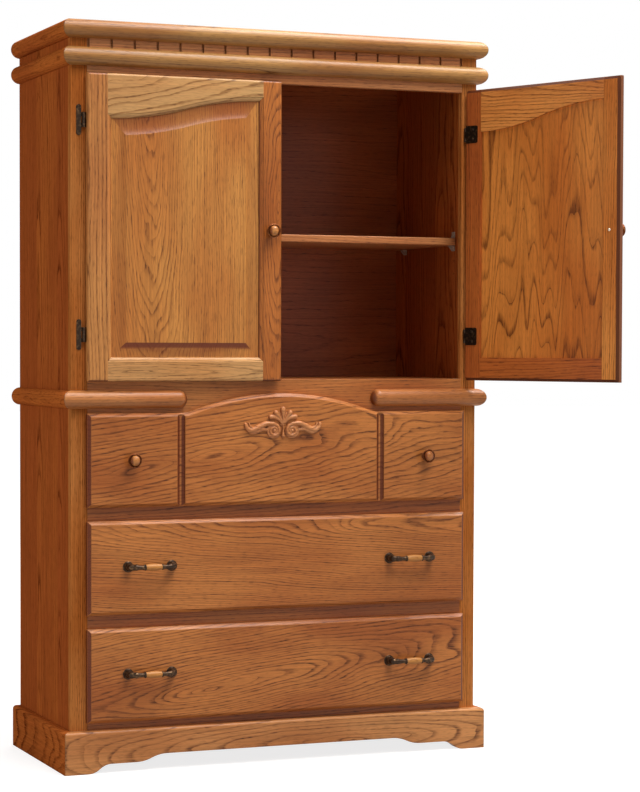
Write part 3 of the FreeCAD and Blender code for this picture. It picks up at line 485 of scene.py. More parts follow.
    def _stain_faces(self, add: Adder, normal: NodeSocket, turn: float, colour: NodeSocket) -> NodeSocket:
        """Darken faces that cut across the grain, which drink more stain, paint shade on those that face down,
        and darken the long edges.

        Args:
            add: Adds a node to the material.
            normal: Surface normal in the piece's own axes.
            turn: Angle by which the piece has swung about the right-hand hinge.
            colour: The stained colour of the faces along the grain.

        Returns:
            The colour with dark ends and edges.
        """
        normal = add("ShaderNodeMapping", {
            "Vector": normal, "Rotation": (0.0, 0.0, -turn),
        }, vector_type="VECTOR")[0]
        parts = add("ShaderNodeSeparateXYZ", {0: normal})
        along, across, through = (parts[axis] for axis in self.grain.value)
        facing = add("ShaderNodeMath", {0: along}, operation="ABSOLUTE")[0]
        sideways = add("ShaderNodeMath", {0: across}, operation="ABSOLUTE")[0]
        endwise = add("ShaderNodeMath", {0: facing, 1: sideways}, operation="SUBTRACT")[0]
        start, full = self.slant_range
        ranges = [
            {"Value": endwise, "From Min": start, "From Max": full, "To Max": self.slant},
            {"Value": facing, "From Min": 0.4, "From Max": 0.7, "To Max": 0.88},
        ]
        if self.side_slant:
            ranges.append({"Value": endwise, "From Min": -start, "From Max": -full, "To Max": self.side_slant})
        # Painted shade: surfaces that face the lower end of the grain turn darker.
        if self.run_down:
            ranges.append({"Value": along, "From Min": -0.04, "From Max": -0.24, "To Max": self.run_down})
        share = 0.0
        for values in ranges:
            dark = add("ShaderNodeMapRange", values)[0]
            share = add("ShaderNodeMath", {0: share, 1: dark}, operation="MAXIMUM")[0]
        colour = add("ShaderNodeMix", {0: share, 6: colour, 7: linear(self.stain.end)}, data_type="RGBA")[2]
        if self.eased_back:
            colour = self._stain_back(add, through, colour)
        if self.long_edge:
            share = add("ShaderNodeMapRange", {
                "Value": sideways, "From Min": 0.5, "From Max": 0.9, "To Max": 0.9,
            })[0]
            colour = add("ShaderNodeMix", {0: share, 6: colour, 7: linear(self.long_edge)}, data_type="RGBA")[2]
        return colour

    def _stain_hollows(self, add: Adder, colour: NodeSocket) -> NodeSocket:
        """Darken hollows with painted shade.

        Args:
            add: Adds a node to the material.
            colour: The stained colour.

        Returns:
            The colour with dark hollows.
        """
        shelter = add("ShaderNodeAmbientOcclusion", {"Distance": self.hollow * MM}, samples=6)["AO"]
        share = add("ShaderNodeMapRange", {
            "Value": shelter, "From Min": 0.3, "From Max": 0.85, "To Min": 0.9, "To Max": 0.0,
        })[0]
        return add("ShaderNodeMix", {0: share, 6: colour, 7: linear(self.stain.line)}, data_type="RGBA")[2]

    def _stain_back(self, add: Adder, backward: NodeSocket, colour: NodeSocket) -> NodeSocket:
        """Darken the slanting edges of a board's back.

        Args:
            add: Adds a node to the material.
            backward: How far the surface faces backward, from minus one to one.
            colour: The stained colour of the other faces.

        Returns:
            The colour with dark back edges.
        """
        slanting = add("ShaderNodeMapRange", {
            "Value": backward, "From Min": 0.9, "From Max": 0.97, "To Min": 0.95, "To Max": 0.0,
        })[0]
        rearward = add("ShaderNodeMapRange", {"Value": backward, "From Min": 0.3, "From Max": 0.5})[0]
        share = add("ShaderNodeMath", {0: slanting, 1: rearward}, operation="MULTIPLY")[0]
        return add("ShaderNodeMix", {0: share, 6: colour, 7: linear(self.eased_back)}, data_type="RGBA")[2]

    def _rub_edges(self, add: Adder, eased: NodeSocket, colour: NodeSocket) -> NodeSocket:
        """Lighten the eased edges a little, where the stain has been rubbed thin.

        Args:
            add: Adds a node to the material.
            eased: Normal with the edges rounded.
            colour: The stained colour.

        Returns:
            The colour with rubbed edges.
        """
        level = add("ShaderNodeNewGeometry")["Normal"]
        match = add("ShaderNodeVectorMath", {0: level, 1: eased}, operation="DOT_PRODUCT")["Value"]
        wear = add("ShaderNodeMapRange", {
            "Value": match, "From Min": 0.995, "From Max": 0.92, "To Max": self.rub,
        })[0]
        return add("ShaderNodeMix", {0: wear, 6: colour, 7: linear(self.stain.warm)}, data_type="RGBA")[2]


# Boards of the case that the light grazes: they show no sheen.
matt_oak = partial(OakFinish, gloss=0.0, coat=0.0)
# Stiles and rails of the doors: crisp edges, with a dark colour along the slanted ones at the back.
door_oak = partial(OakFinish, easing=1.2, eased_back=DARK_EDGE)
# Raised panels: dark stain on their bevels, and painted shade on those that face down.
panel_oak = partial(OakFinish, grain=Grain.UPRIGHT_FRONT, easing=1.5, slant=0.5, side_slant=0.2, run_down=0.9)
# Drawer fronts: edges rubbed light.
drawer_oak = partial(OakFinish, CHESTNUT, Grain.ALONG_FRONT, coat=0.25, rub=0.6)


@dataclass(frozen=True)
class BronzeFinish:
    """Cast bronze with a dark brown patina: worn bright on the high spots, duller in the hollows."""

    patina: str = "#33251B"
    worn: str = "#6E5236"
    patch_size: float = 7.0
    grit_size: float = 1.2

    def material(self, name: str) -> Material:
        """Build the finish under a piece's name.

        Args:
            name: Name of the piece.

        Returns:
            The node material.
        """
        material, add = new_material(f"dark_bronze.{name}")
        coordinate = add("ShaderNodeTexCoord")
        patch = add("ShaderNodeTexNoise", {
            "Vector": coordinate["Object"], "Scale": 1 / (self.patch_size * MM), "Detail": 3.0,
        })[0]
        grit = add("ShaderNodeTexNoise", {
            "Vector": coordinate["Object"], "Scale": 1 / (self.grit_size * MM), "Detail": 1.0,
        })[0]
        wear = add("ShaderNodeMapRange", {
            "Value": patch, "From Min": 0.45, "From Max": 0.75, "To Max": 0.8,
        }, interpolation_type="SMOOTHSTEP")[0]
        colour = add("ShaderNodeMix", {
            0: wear, 6: linear(self.patina), 7: linear(self.worn),
        }, data_type="RGBA")[2]
        rough = add("ShaderNodeMapRange", {"Value": patch, "To Min": 0.46, "To Max": 0.26})[0]
        relief = add("ShaderNodeBump", {"Height": grit, "Strength": 0.15, "Distance": 0.2 * MM})[0]
        shader = add("ShaderNodeBsdfPrincipled", {
            "Base Color": colour, "Roughness": rough, "Normal": relief, "Metallic": 0.85,
        })
        add("ShaderNodeOutputMaterial", {"Surface": shader[0]})
        return material


COPPERY = BronzeFinish("#57290F", "#9A6236")


@dataclass(frozen=True)
class SteelFinish:
    """Zinc-plated rolled steel: pale grey, faintly streaked along the strip by the rolling mill."""

    pale: str = "#B9BCBE"
    dull: str = "#95989B"
    streak_size: tuple[float, float] = (60.0, 1.6)

    def material(self, name: str) -> Material:
        """Build the finish under a piece's name.

        Args:
            name: Name of the piece.

        Returns:
            The node material.
        """
        material, add = new_material(f"zinc_steel.{name}")
        coordinate = add("ShaderNodeTexCoord")
        place = add("ShaderNodeMapping", {
            "Vector": coordinate["Object"],
            "Scale": tuple(1 / MM * size for size in Grain.DEEP_SIDE.stretch(*self.streak_size)),
        })[0]
        streak = add("ShaderNodeTexNoise", {"Vector": place, "Scale": 1.0, "Detail": 3.0})[0]
        colour = add("ShaderNodeMix", {
            0: streak, 6: linear(self.pale), 7: linear(self.dull),
        }, data_type="RGBA")[2]
        rough = add("ShaderNodeMapRange", {"Value": streak, "To Min": 0.25, "To Max": 0.5})[0]
        shader = add("ShaderNodeBsdfPrincipled", {"Base Color": colour, "Roughness": rough, "Metallic": 1.0})
        add("ShaderNodeOutputMaterial", {"Surface": shader[0]})
        return material


@dataclass(frozen=True)
class PlasticFinish:
    """Clear moulded polycarbonate: milky where it is thick, with fine flow marks."""

    tint: str = "#F0DCC8"
    haze: str = "#DEC3A8"
    flow_size: float = 5.0

    def material(self, name: str) -> Material:
        """Build the finish under a piece's name.

        Args:
            name: Name of the piece.

        Returns:
            The node material.
        """
        material, add = new_material(f"clear_polycarbonate.{name}")
        coordinate = add("ShaderNodeTexCoord")
        flow = add("ShaderNodeTexNoise", {
            "Vector": coordinate["Object"], "Scale": 1 / (self.flow_size * MM), "Detail": 2.0,
        })[0]
        colour = add("ShaderNodeMix", {
            0: flow, 6: linear(self.tint), 7: linear(self.haze),
        }, data_type="RGBA")[2]
        rough = add("ShaderNodeMapRange", {"Value": flow, "To Min": 0.12, "To Max": 0.3})[0]
        shader = add("ShaderNodeBsdfPrincipled", {
            "Base Color": colour, "Roughness": rough, "Transmission Weight": 0.5, "IOR": 1.58,
        })
        add("ShaderNodeOutputMaterial", {"Surface": shader[0]})
        return material


def dress(node: str, material: Material) -> None:
    """Give a CAD node a finish in all its material slots.

    Args:
        node: Name of the node.
        material: The finish.
    """
    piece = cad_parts[node]
    for slot in piece.material_slots:
        slot.material = material
    LOG.info("dressed %s in %s", node, material.name)


def middle_of(node: str) -> Vector:
    """Middle of a CAD node at rest."""
    low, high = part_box(node)
    return (low + high) / 2


def curve_through(stations: Stations, per_span: int) -> list[tuple[float, ...]]:
    """Draw a smooth run of stations through a few given ones.

    Args:
        stations: Positions and sizes along the run.
        per_span: New stations from each given one to the next.

    Returns:
        The finer run, through every given station.
    """
    padded = [stations[0], *stations, stations[-1]]
    run = []
    for before, start, end, after in zip(padded, padded[1:], padded[2:], padded[3:]):
        for step in range(per_span):
            t = step / per_span
            run.append(tuple(
                0.5 * (
                    2 * b + (c - a) * t + (2 * a - 5 * b + 4 * c - d) * t ** 2
                    + (3 * b - a - 3 * c + d) * t ** 3
                )
                for a, b, c, d in zip(before, start, end, after)
            ))
    return [*run, stations[-1]]


@dataclass
class Shape:
    """A mesh in the making, in millimetres; every solid added to it is closed."""

    points: list[Vector] = field(default_factory=list)
    faces: list[tuple[int, ...]] = field(default_factory=list)

    def turned(self, profile: Profile, foot: Vector, axis: Vector, steps: int = 40) -> None:
        """Add a turned solid.

        Args:
            profile: Radius and distance from the foot, from one end to the other; the ends close by themselves.
            foot: Where the distances start.
            axis: Direction of the turning axis.
            steps: Corners around the axis.
        """
        side = axis.orthogonal().normalized()
        other = axis.cross(side).normalized()
        rings = []
        for radius, distance in profile:
            angles = (2 * math.pi * step / steps for step in range(steps))
            rings.append([
                foot + axis * distance + (side * math.cos(a) + other * math.sin(a)) * radius for a in angles
            ])
        self._skin(rings, foot + axis * profile[0][1], foot + axis * profile[-1][1])

    def swept(self, stations: Stations, up: Vector, steps: int = 16) -> None:
        """Add a bar with an elliptical section and rounded ends along a path.

        Args:
            stations: X, Y, Z, half width and half height along the path.
            up: Direction of the height.
            steps: Corners around the section.
        """
        places = [Vector(station[:3]) for station in stations]
        first, last = (places[1] - places[0]).normalized(), (places[-1] - places[-2]).normalized()
        rings = []
        for turn in (60.0, 30.0):
            rings.append(self._section(places[0], -first, first, stations[0], up, turn, steps))
        for number, station in enumerate(stations):
            ahead, behind = places[min(number + 1, len(places) - 1)], places[max(number - 1, 0)]
            along = (ahead - behind).normalized()
            rings.append(self._section(places[number], first, along, station, up, 0.0, steps))
        for turn in (30.0, 60.0):
            rings.append(self._section(places[-1], last, last, stations[-1], up, turn, steps))
        self._skin(rings, places[0] - first * stations[0][3], places[-1] + last * stations[-1][3])

    @staticmethod
    def _section(
        place: Vector, out: Vector, along: Vector, station: tuple[float, ...], up: Vector, turn: float,
        steps: int,
    ) -> list[Vector]:
        """Draw one section of a bar.

        Args:
            place: Middle of the section before its shift.
            out: Direction of the shift at a rounded end.
            along: Direction of the bar.
            station: Its place, half width and half height.
            up: Direction of the height.
            turn: How far round its end the section is, in degrees.
            steps: Corners around the section.

        Returns:
            The section's corners.
        """
        side = along.cross(up).normalized()
        rise = side.cross(along).normalized()
        place = place + out * station[3] * math.sin(math.radians(turn))
        draw = math.cos(math.radians(turn))
        angles = (2 * math.pi * step / steps for step in range(steps))
        return [
            place + (side * station[3] * math.cos(a) + rise * station[4] * math.sin(a)) * draw for a in angles
        ]

    def lofted(self, sections: list[list[Vector]]) -> None:
        """Add a solid through sections; flat faces close its ends.

        Args:
            sections: Corners of each section, the same number in all.
        """
        first, last = self._joined(sections)
        count = len(sections[0])
        self.faces.append(tuple(reversed(range(first, first + count))))
        self.faces.append(tuple(range(last, last + count)))

    def _skin(self, rings: list[list[Vector]], start: Vector, end: Vector) -> None:
        """Join rings of corners into a closed skin between two end points.

        Args:
            rings: Corners of each ring, the same number in all.
            start: Point that closes the first ring.
            end: Point that closes the last one.
        """
        first, last = self._joined(rings)
        steps, tip = len(rings[0]), len(self.points)
        self.points.extend((start, end))
        for step in range(steps):
            following = (step + 1) % steps
            self.faces.append((first + following, first + step, tip))
            self.faces.append((last + step, last + following, tip + 1))

    def _joined(self, rings: list[list[Vector]]) -> tuple[int, int]:
        """Add rings of corners with faces between them.

        Args:
            rings: Corners of each ring, the same number in all.

        Returns:
            Numbers of the first corner of the first ring and of the last one.
        """
        base, steps = len(self.points), len(rings[0])
        for ring in rings:
            self.points.extend(ring)
        for number in range(len(rings) - 1):
            near, far = base + number * steps, base + (number + 1) * steps
            for step in range(steps):
                following = (step + 1) % steps
                self.faces.append((near + step, near + following, far + following, far + step))
        return base, base + (len(rings) - 1) * steps

    def piece(self, name: str, material: Material, crease: float = 40.0) -> Object:
        """Make the object.

        Args:
            name: Its name.
            material: Its finish.
            crease: Edges sharper than this many degrees stay sharp.

        Returns:
            The object, in metres at the origin.
        """
        mesh = bpy.data.meshes.new(name)
        mesh.from_pydata([point * MM for point in self.points], [], self.faces)
        return finished(mesh, name, material, crease)


def swung(point: Vector, swing: Matrix) -> Vector:
    """Turn a point in millimetres about the right-hand hinge."""
    hinge = RIGHT_HINGE / MM
    return hinge + swing @ (point - hinge)


def finished(mesh: Mesh, name: str, material: Material, crease: float = 40.0) -> Object:
    """Turn a closed mesh outward, shade it and set it in the scene.

    Args:
        mesh: The mesh, in metres.
        name: Name of the object.
        material: Its finish.
        crease: Edges sharper than this many degrees stay sharp.

    Returns:
        The object at the origin.
    """
    skin = bmesh.new()
    skin.from_mesh(mesh)
    bmesh.ops.remove_doubles(skin, verts=skin.verts, dist=1e-6)
    bmesh.ops.recalc_face_normals(skin, faces=skin.faces)
    for face in skin.faces:
        face.smooth = True
    skin.to_mesh(mesh)
    skin.free()
    mesh.set_sharp_from_angle(angle=math.radians(crease))
    mesh.materials.clear()
    mesh.materials.append(material)
    piece = bpy.data.objects.new(name, mesh)
    bpy.context.scene.collection.objects.link(piece)
    LOG.info("built %s with %d faces", name, len(mesh.polygons))
    return piece


def stand_in(piece: Object, node: str, body: str) -> None:
    """Let a finished piece take a CAD node's place.

    Args:
        piece: The finished piece.
        node: The node that it replaces.
        body: The moving body that carries it.
    """
    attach(piece, body)
    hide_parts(node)


def plain_mesh(draft: Object) -> Mesh:
    """Turn an object with modifiers into a plain mesh, and remove the object.

    Args:
        draft: The object, with its modifiers.

    Returns:
        The mesh that they give.
    """
    graph = bpy.context.evaluated_depsgraph_get()
    mesh = bpy.data.meshes.new_from_object(draft.evaluated_get(graph))
    draft.modifiers.clear()
    bpy.data.objects.remove(draft)
    return mesh


@dataclass
class DoorBoards:
    """Boards of a door, given for the left one when shut: coped stiles and rails round a raised panel.

    Sizes are in millimetres, and depths count from the door's face.
    """

    mirrored: bool
    swing: Matrix
    stile: float = 49.0
    low_rail: float = 57.5
    top_rail: tuple[float, float] = (106.0, 51.0)
    edge_round: float = 6.0
    # Width and depth of the slant along the back of the outer edges, all but the hinge side.
    back_slant: tuple[float, float] = (7.0, 5.0)
    groove: tuple[float, float] = (7.9, 14.1)
    groove_reach: float = 9.0
    tongue: tuple[float, float] = (8.0, 14.0)
    tongue_reach: float = 8.0
    # A quirk and a quarter round along the inner edges, as distance from the joint and depth.
    moulding: tuple[tuple[float, float], ...] = (
        (0.0, 0.0), (0.5, 1.1), (2.4, 1.3), (4.4, 1.9), (6.4, 3.0), (8.2, 4.5), (9.4, 6.1), (10.0, 7.9))
    # The panel's hollow bevel: its width, more of it under the arch, the even part of its rise and the curl of
    # the rest.
    bevel: float = 35.0
    arch_share: float = 1.15
    bevel_even: float = 0.3
    bevel_curl: float = 3.5
    field_depth: float = 1.6
    # Sections along the rounded ends of a stile, along an arch and up the bevel.
    end_steps: tuple[float, ...] = (0.0, 0.3, 1.0, 2.2, 4.0)
    arch_steps: int = 48
    bevel_steps: int = 14

    def __post_init__(self) -> None:
        """Take the outer sizes from the left door in the frame."""
        low, high = (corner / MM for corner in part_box("left_door_stiles"))
        self.outer, self.inner, self.bottom, self.top = low.x, high.x, low.z, high.z
        self.face, self.thickness = low.y, high.y - low.y
        self.left, self.right = self.outer + self.stile, self.inner - self.stile
        self.low = self.bottom + self.low_rail
        self.wide = self.moulding[-1][0]

    def place(self, x: float, depth: float, z: float) -> Vector:
        """Put a point of the door where it stands at rest.

        Args:
            x: Place across the left door.
            depth: Distance behind its face.
            z: Height.

        Returns:
            The point.
        """
        if not self.mirrored:
            return Vector((x, self.face + depth, z))
        return swung(Vector((-x, self.face + depth, z)), self.swing)

    def arch(self, x: float, inward: float = 0.0) -> float:
        """Follow the upper edge of the opening, two arcs that meet in the middle.

        Args:
            x: Place across the left door.
            inward: How far inside the edge the line runs.

        Returns:
            Height of the edge or the line.
        """
        x = min(max(x, self.left), self.right)
        start, end = self.top - self.top_rail[0], self.top - self.top_rail[1]
        run, rise = self.right - self.left, end - start
        radius = (run ** 2 + rise ** 2) / (4 * rise)
        if x - self.left < (radius + inward) * run / 2 / radius:
            return start + radius - math.sqrt((radius + inward) ** 2 - (x - self.left) ** 2)
        return end - radius + math.sqrt((radius - inward) ** 2 - (self.right - x) ** 2)

    def stile_shape(self, lock: bool) -> Shape:
        """Shape a stile, with its moulded edge mitred into the rails'.

        Args:
            lock: Whether it is the lock stile or the hinge stile.

        Returns:
            The stile.
        """
        low, high = self.low - self.wide, self.top - self.top_rail[lock] + self.wide
        ends = (*self.end_steps, self.edge_round, self.back_slant[0])
        steps = {self.bottom + end for end in ends} | {self.top - end for end in ends}
        steps |= self._mitres(low, high)
        sections = []
        for z in sorted(steps):
            reach = min(max(min(z - low, high - z), 0.0), self.wide)
            end = min(z - self.bottom, self.top - z, self.edge_round)
            sunk = self.edge_round - math.sqrt(self.edge_round ** 2 - (self.edge_round - end) ** 2)
            cut = self.back_slant[1] * max(1 - min(z - self.bottom, self.top - z) / self.back_slant[0], 0.0)
            profile = [*self._outer_edge(lock), *((self.stile + u, d) for u, d in self._moulded(reach))]
            bed = self.stile - self.groove_reach
            profile += [(bed, self.groove[0]), (bed, self.groove[1])]
            profile += [(self.stile, self.groove[1]), (self.stile, self.thickness)]
            deepest = self.thickness - cut
            sections.append([
                self.place(self.inner - u if lock else self.outer + u, min(max(d, sunk), deepest), z)
                for u, d in profile
            ])
        shape = Shape()
        shape.lofted(sections)
        return shape

    def rail_shape(self, arched: bool) -> Shape:
        """Shape a rail, with its moulded edge mitred into the stiles'.

        Args:
            arched: Whether it is the arched top rail or the straight bottom rail.

        Returns:
            The rail.
        """
        up = -1 if arched else 1
        outer = self.top if arched else self.bottom
        start, run = self.left + self.wide, self.right - self.left - 2 * self.wide
        steps = self._mitres(self.left, self.right)
        steps |= {start + run * number / self.arch_steps for number in range(self.arch_steps + 1)}
        sections = []
        for x in sorted(steps):
            edge = self.arch(x) if arched else self.low
            slope = self.arch(x + 1.0) - self.arch(x) if arched and x < self.right - 1.0 else 0.0
            lean = math.sqrt(1 + slope ** 2)
            reach = min(max(min(x - self.left, self.right - x), 0.0), self.wide)
            profile = [(outer + up * v, d) for v, d in self._outer_edge(True)]
            profile += [(edge - up * (self.wide - u) * lean, d) for u, d in self._moulded(reach)]
            sunk = edge - up * self.groove_reach
            profile += [(sunk, self.groove[0]), (sunk, self.groove[1])]
            profile += [(edge, self.groove[1]), (edge, self.thickness)]
            sections.append([self.place(x, d, z) for z, d in profile])
        shape = Shape()
        shape.lofted(sections)
        return shape

    def panel_shape(self) -> Shape:
        """Shape the raised panel: a tongue in the groove and a hollow bevel that rises to the field.

        Returns:
            The panel.
        """
        out = -self.tongue_reach
        rings = [self._outline(out, out, depth) for depth in reversed(self.tongue)]
        for step in range(self.bevel_steps + 1):
            t = step / self.bevel_steps
            rise = self.bevel_even * t + (1 - self.bevel_even) * t ** self.bevel_curl
            depth = self.tongue[0] + (self.field_depth - self.tongue[0]) * rise
            rings.append(self._outline(self.wide + self.bevel * t, self.bevel * t, depth))
        shape = Shape()
        shape.lofted(rings)
        return shape

    def _mitres(self, start: float, end: float) -> set[float]:
        """Where the moulding's steps meet those of the crossing boards, near both ends of a board."""
        return {start + across for across, _ in self.moulding} | {end - across for across, _ in self.moulding}

    def _outer_edge(self, slanted: bool) -> list[tuple[float, float]]:
        """Round a board's outer edge.

        Args:
            slanted: Whether the back of the edge is slanted.

        Returns:
            Distance from the edge and depth along the profile, from the back.
        """
        turns = [math.radians(15 * number) for number in range(7)]
        arc = [(self.edge_round * (1 - math.cos(a)), self.edge_round * (1 - math.sin(a))) for a in turns]
        if not slanted:
            return [(0.0, self.thickness), *arc]
        return [(self.back_slant[0], self.thickness), (0.0, self.thickness - self.back_slant[1]), *arc]

    def _moulded(self, reach: float) -> list[tuple[float, float]]:
        """Cut the moulded edge off at a reach, with the wall down to the groove.

        Args:
            reach: Distance from the joint.

        Returns:
            Distance from the joint and depth along the profile.
        """
        points = []
        for (start, high), (end, deep) in zip(self.moulding, self.moulding[1:]):
            points.append((min(start, reach), high if start <= reach else points[-1][1]))
            if start <= reach < end:
                points.append((reach, high + (deep - high) * (reach - start) / (end - start)))
            else:
                points.append((min(end, reach), deep if end <= reach else points[-1][1]))
        return [*points, (reach, self.groove[0])]

    def _outline(self, aside: float, inward: float, depth: float) -> list[Vector]:
        """Draw a line that follows the opening.

        Args:
            aside: How far in it lies from the sides.
            inward: How far in it lies from above and below.
            depth: Distance behind the door's face.

        Returns:
            The line's corners.
        """
        start, end = self.left + aside, self.right - aside
        along = [end + (start - end) * step / self.arch_steps for step in range(self.arch_steps + 1)]
        points = [self.place(x, depth, self.low + inward) for x in (start, end)]
        inward *= self.arch_share if inward > 0 else 1.0
        return points + [self.place(x, depth, self.arch(x, inward)) for x in along]


@dataclass(frozen=True)
class BackScrew:
    """Screw that holds a handle from behind a board; sizes in millimetres.

    Attributes:
        bite: How far it reaches into the handle.
        head: Radius and height along the head's profile.
        sides: Corners around it.
        radius: Radius of the shank.
    """

    bite: float
    head: Profile
    sides: int
    radius: float = 2.0

    def add(self, shape: Shape, place: Vector, out: Vector, depth: float) -> None:
        """Add the screw to a mesh.

        Args:
            shape: The mesh.
            place: Where the handle meets the board.
            out: Direction that the handle points in.
            depth: Thickness of the board.
        """
        profile = [(self.radius, self.bite), (self.radius, -depth)]
        profile += [(radius, -depth - height) for radius, height in self.head]
        shape.turned(profile, place, out, self.sides)


@dataclass
class Knob:
    """Bronze cup on a waisted stem with a domed oak insert; radii and distances in millimetres."""

    cup: Profile = (
        (9.6, 0.0), (10.5, 0.6), (10.5, 1.6), (8.8, 2.6), (6.8, 4.2), (6.2, 6.5), (6.6, 9.0), (8.4, 12.0),
        (11.8, 15.2), (15.0, 17.8), (16.8, 19.6), (17.3, 20.8), (17.0, 21.9), (15.9, 22.5), (14.4, 22.2),
        (13.2, 21.0), (12.7, 19.6))
    dome: Profile = (
        (12.2, 19.8), (12.4, 21.8), (12.2, 23.6), (11.5, 25.6), (10.3, 27.5), (8.5, 29.2), (6.0, 30.5),
        (3.2, 31.2), (0.4, 31.4))
    screw: BackScrew = BackScrew(
        bite=4.0, head=((4.0, 0.0), (4.0, 0.6), (3.5, 1.6), (2.2, 2.3), (0.6, 2.4)), sides=28)


@dataclass
class Carving:
    """The carved shell on the top drawer: a fan of lobes over two scrolls with leafy arms; in millimetres."""

    base: float = 796.0
    # Ribs as stations across, up, half wide and high: those in the middle, then those of the right side.
    middle_ribs: tuple[Stations, ...] = (
        ((0, 36, 2.0, 4.4), (0, 52, 4.4, 6.2), (0, 65, 7.4, 7.6), (0, 70.5, 7.6, 7.2)),
        ((0, 40, 2.4, 4.2), (0, 22, 2.6, 4.2), (0, 6, 5.6, 5.4)),
        ((0, 38, 10.0, 3.0), (0, 53, 16.0, 3.2)),
    )
    side_ribs: tuple[Stations, ...] = (
        ((2, 38, 2.2, 4.2), (8.5, 50, 4.4, 6.0), (19.0, 62.5, 7.0, 7.6)),
        ((3, 36, 2.4, 4.2), (12, 46, 4.2, 5.6), (22, 51.6, 5.4, 6.6), (33.0, 52.4, 6.2, 7.2)),
        ((24, 35.6, 5.2, 7.0), (42, 36.2, 6.4, 7.6), (57, 30.8, 7.2, 7.8), (72, 23.2, 7.2, 7.4),
         (85, 20.0, 6.8, 7.0), (93.8, 25.6, 6.0, 6.6), (97.8, 34.6, 4.8, 5.8)),
        ((43, 21.0, 4.6, 5.0), (55, 22.4, 5.2, 6.0), (67, 17.4, 5.2, 5.6), (80, 14.6, 4.2, 5.0),
         (91, 17.4, 2.8, 4.0)),
        ((78, 25.0, 3.0, 5.8), (86, 29.6, 3.4, 5.6), (89.5, 37.0, 2.6, 4.6)),
    )
    scroll_middle: tuple[float, float] = (23.6, 19.0)
    scroll_radius: tuple[float, float] = (15.6, 5.6)
    scroll_turns: float = 1.45
    # Half width and height of the scroll, where it starts and where it ends.
    scroll_rib: tuple[tuple[float, float], tuple[float, float]] = ((5.2, 7.2), (3.4, 6.0))
    scroll_ease: float = 0.8
    scroll_steps: int = 60
    # Radius and height of the domed eye of each scroll, and the disc behind it.
    eye: tuple[float, float] = (5.6, 7.4)
    eye_tip: float = 0.4
    ground: Profile = ((19.0, -2.0), (19.0, 2.6), (17.0, 3.4), (0.4, 3.4))
    voxel: float = 0.8
    rubs: int = 3
    # No edge of the carving stays sharp.
    crease: float = 180.0

    def build(self, material: Material) -> None:
        """Carve the shell and set it on the drawer.

        Args:
            material: Its finish.
        """
        shape = Shape()
        for stations in self.middle_ribs:
            self._rib(shape, stations)
        arcs = [math.radians(15 * number) for number in range(-2, 6)]
        wide, high = self.eye
        for side in (-1, 1):
            for stations in self.side_ribs:
                self._rib(shape, stations, side)
            self._rib(shape, self._scroll(), side, 1)
            middle = self._place(side * self.scroll_middle[0], self.scroll_middle[1])
            eye = [(wide * math.cos(a), high * math.sin(a)) for a in arcs]
            shape.turned([*eye, (self.eye_tip, high)], middle, FORWARD)
            shape.turned(self.ground, middle, FORWARD)
        draft = shape.piece("carving_draft", material)
        fuse = draft.modifiers.new("fuse", "REMESH")
        fuse.mode = "VOXEL"
        fuse.voxel_size = self.voxel * MM
        mesh = plain_mesh(draft)
        self._soften(mesh)
        shell = finished(mesh, "carved_shell", material, self.crease)
        stand_in(shell, "top_drawer_shell", "top_drawer")

    def _place(self, across: float, height: float) -> Vector:
        """A point on the drawer's face, from the carving's middle and base."""
        return Vector((across, DRAWER_FACE, self.base + height))

    def _rib(self, shape: Shape, stations: Stations, side: int = 1, per_span: int = 7) -> None:
        """Add a rib through stations across, up, half wide and high, mirrored for the left side."""
        run = curve_through(stations, per_span)
        shape.swept([(*self._place(side * x, h), wide, high) for x, h, wide, high in run], FORWARD)

    def _scroll(self) -> list[tuple[float, ...]]:
        """Wind a scroll that starts on top, runs down its inner side and turns inward.

        Returns:
            Its stations across, up, half wide and high.
        """
        stations = []
        (wide, high), (end_wide, end_high) = self.scroll_rib
        start, end = self.scroll_radius
        for step in range(self.scroll_steps + 1):
            t = step / self.scroll_steps
            angle = math.radians(90.0) + 2 * math.pi * self.scroll_turns * t
            reach = start + (end - start) * t ** self.scroll_ease
            across, up = self.scroll_middle
            stations.append((
                across + reach * math.cos(angle), up + reach * math.sin(angle),
                wide + (end_wide - wide) * t, high + (end_high - high) * t,
            ))
        return stations

    def _soften(self, mesh: Mesh) -> None:
        """Smooth the tool marks of the voxels and cut the back flat on the drawer's face.

        Args:
            mesh: The mesh from the voxels.
        """
        skin = bmesh.new()
        skin.from_mesh(mesh)
        for _ in range(self.rubs):
            bmesh.ops.smooth_vert(
                skin, verts=skin.verts, factor=0.5, use_axis_x=True, use_axis_y=True, use_axis_z=True)
        for vertex in skin.verts:
            vertex.co.y = min(vertex.co.y, DRAWER_FACE * MM)
        skin.to_mesh(mesh)
        skin.free()


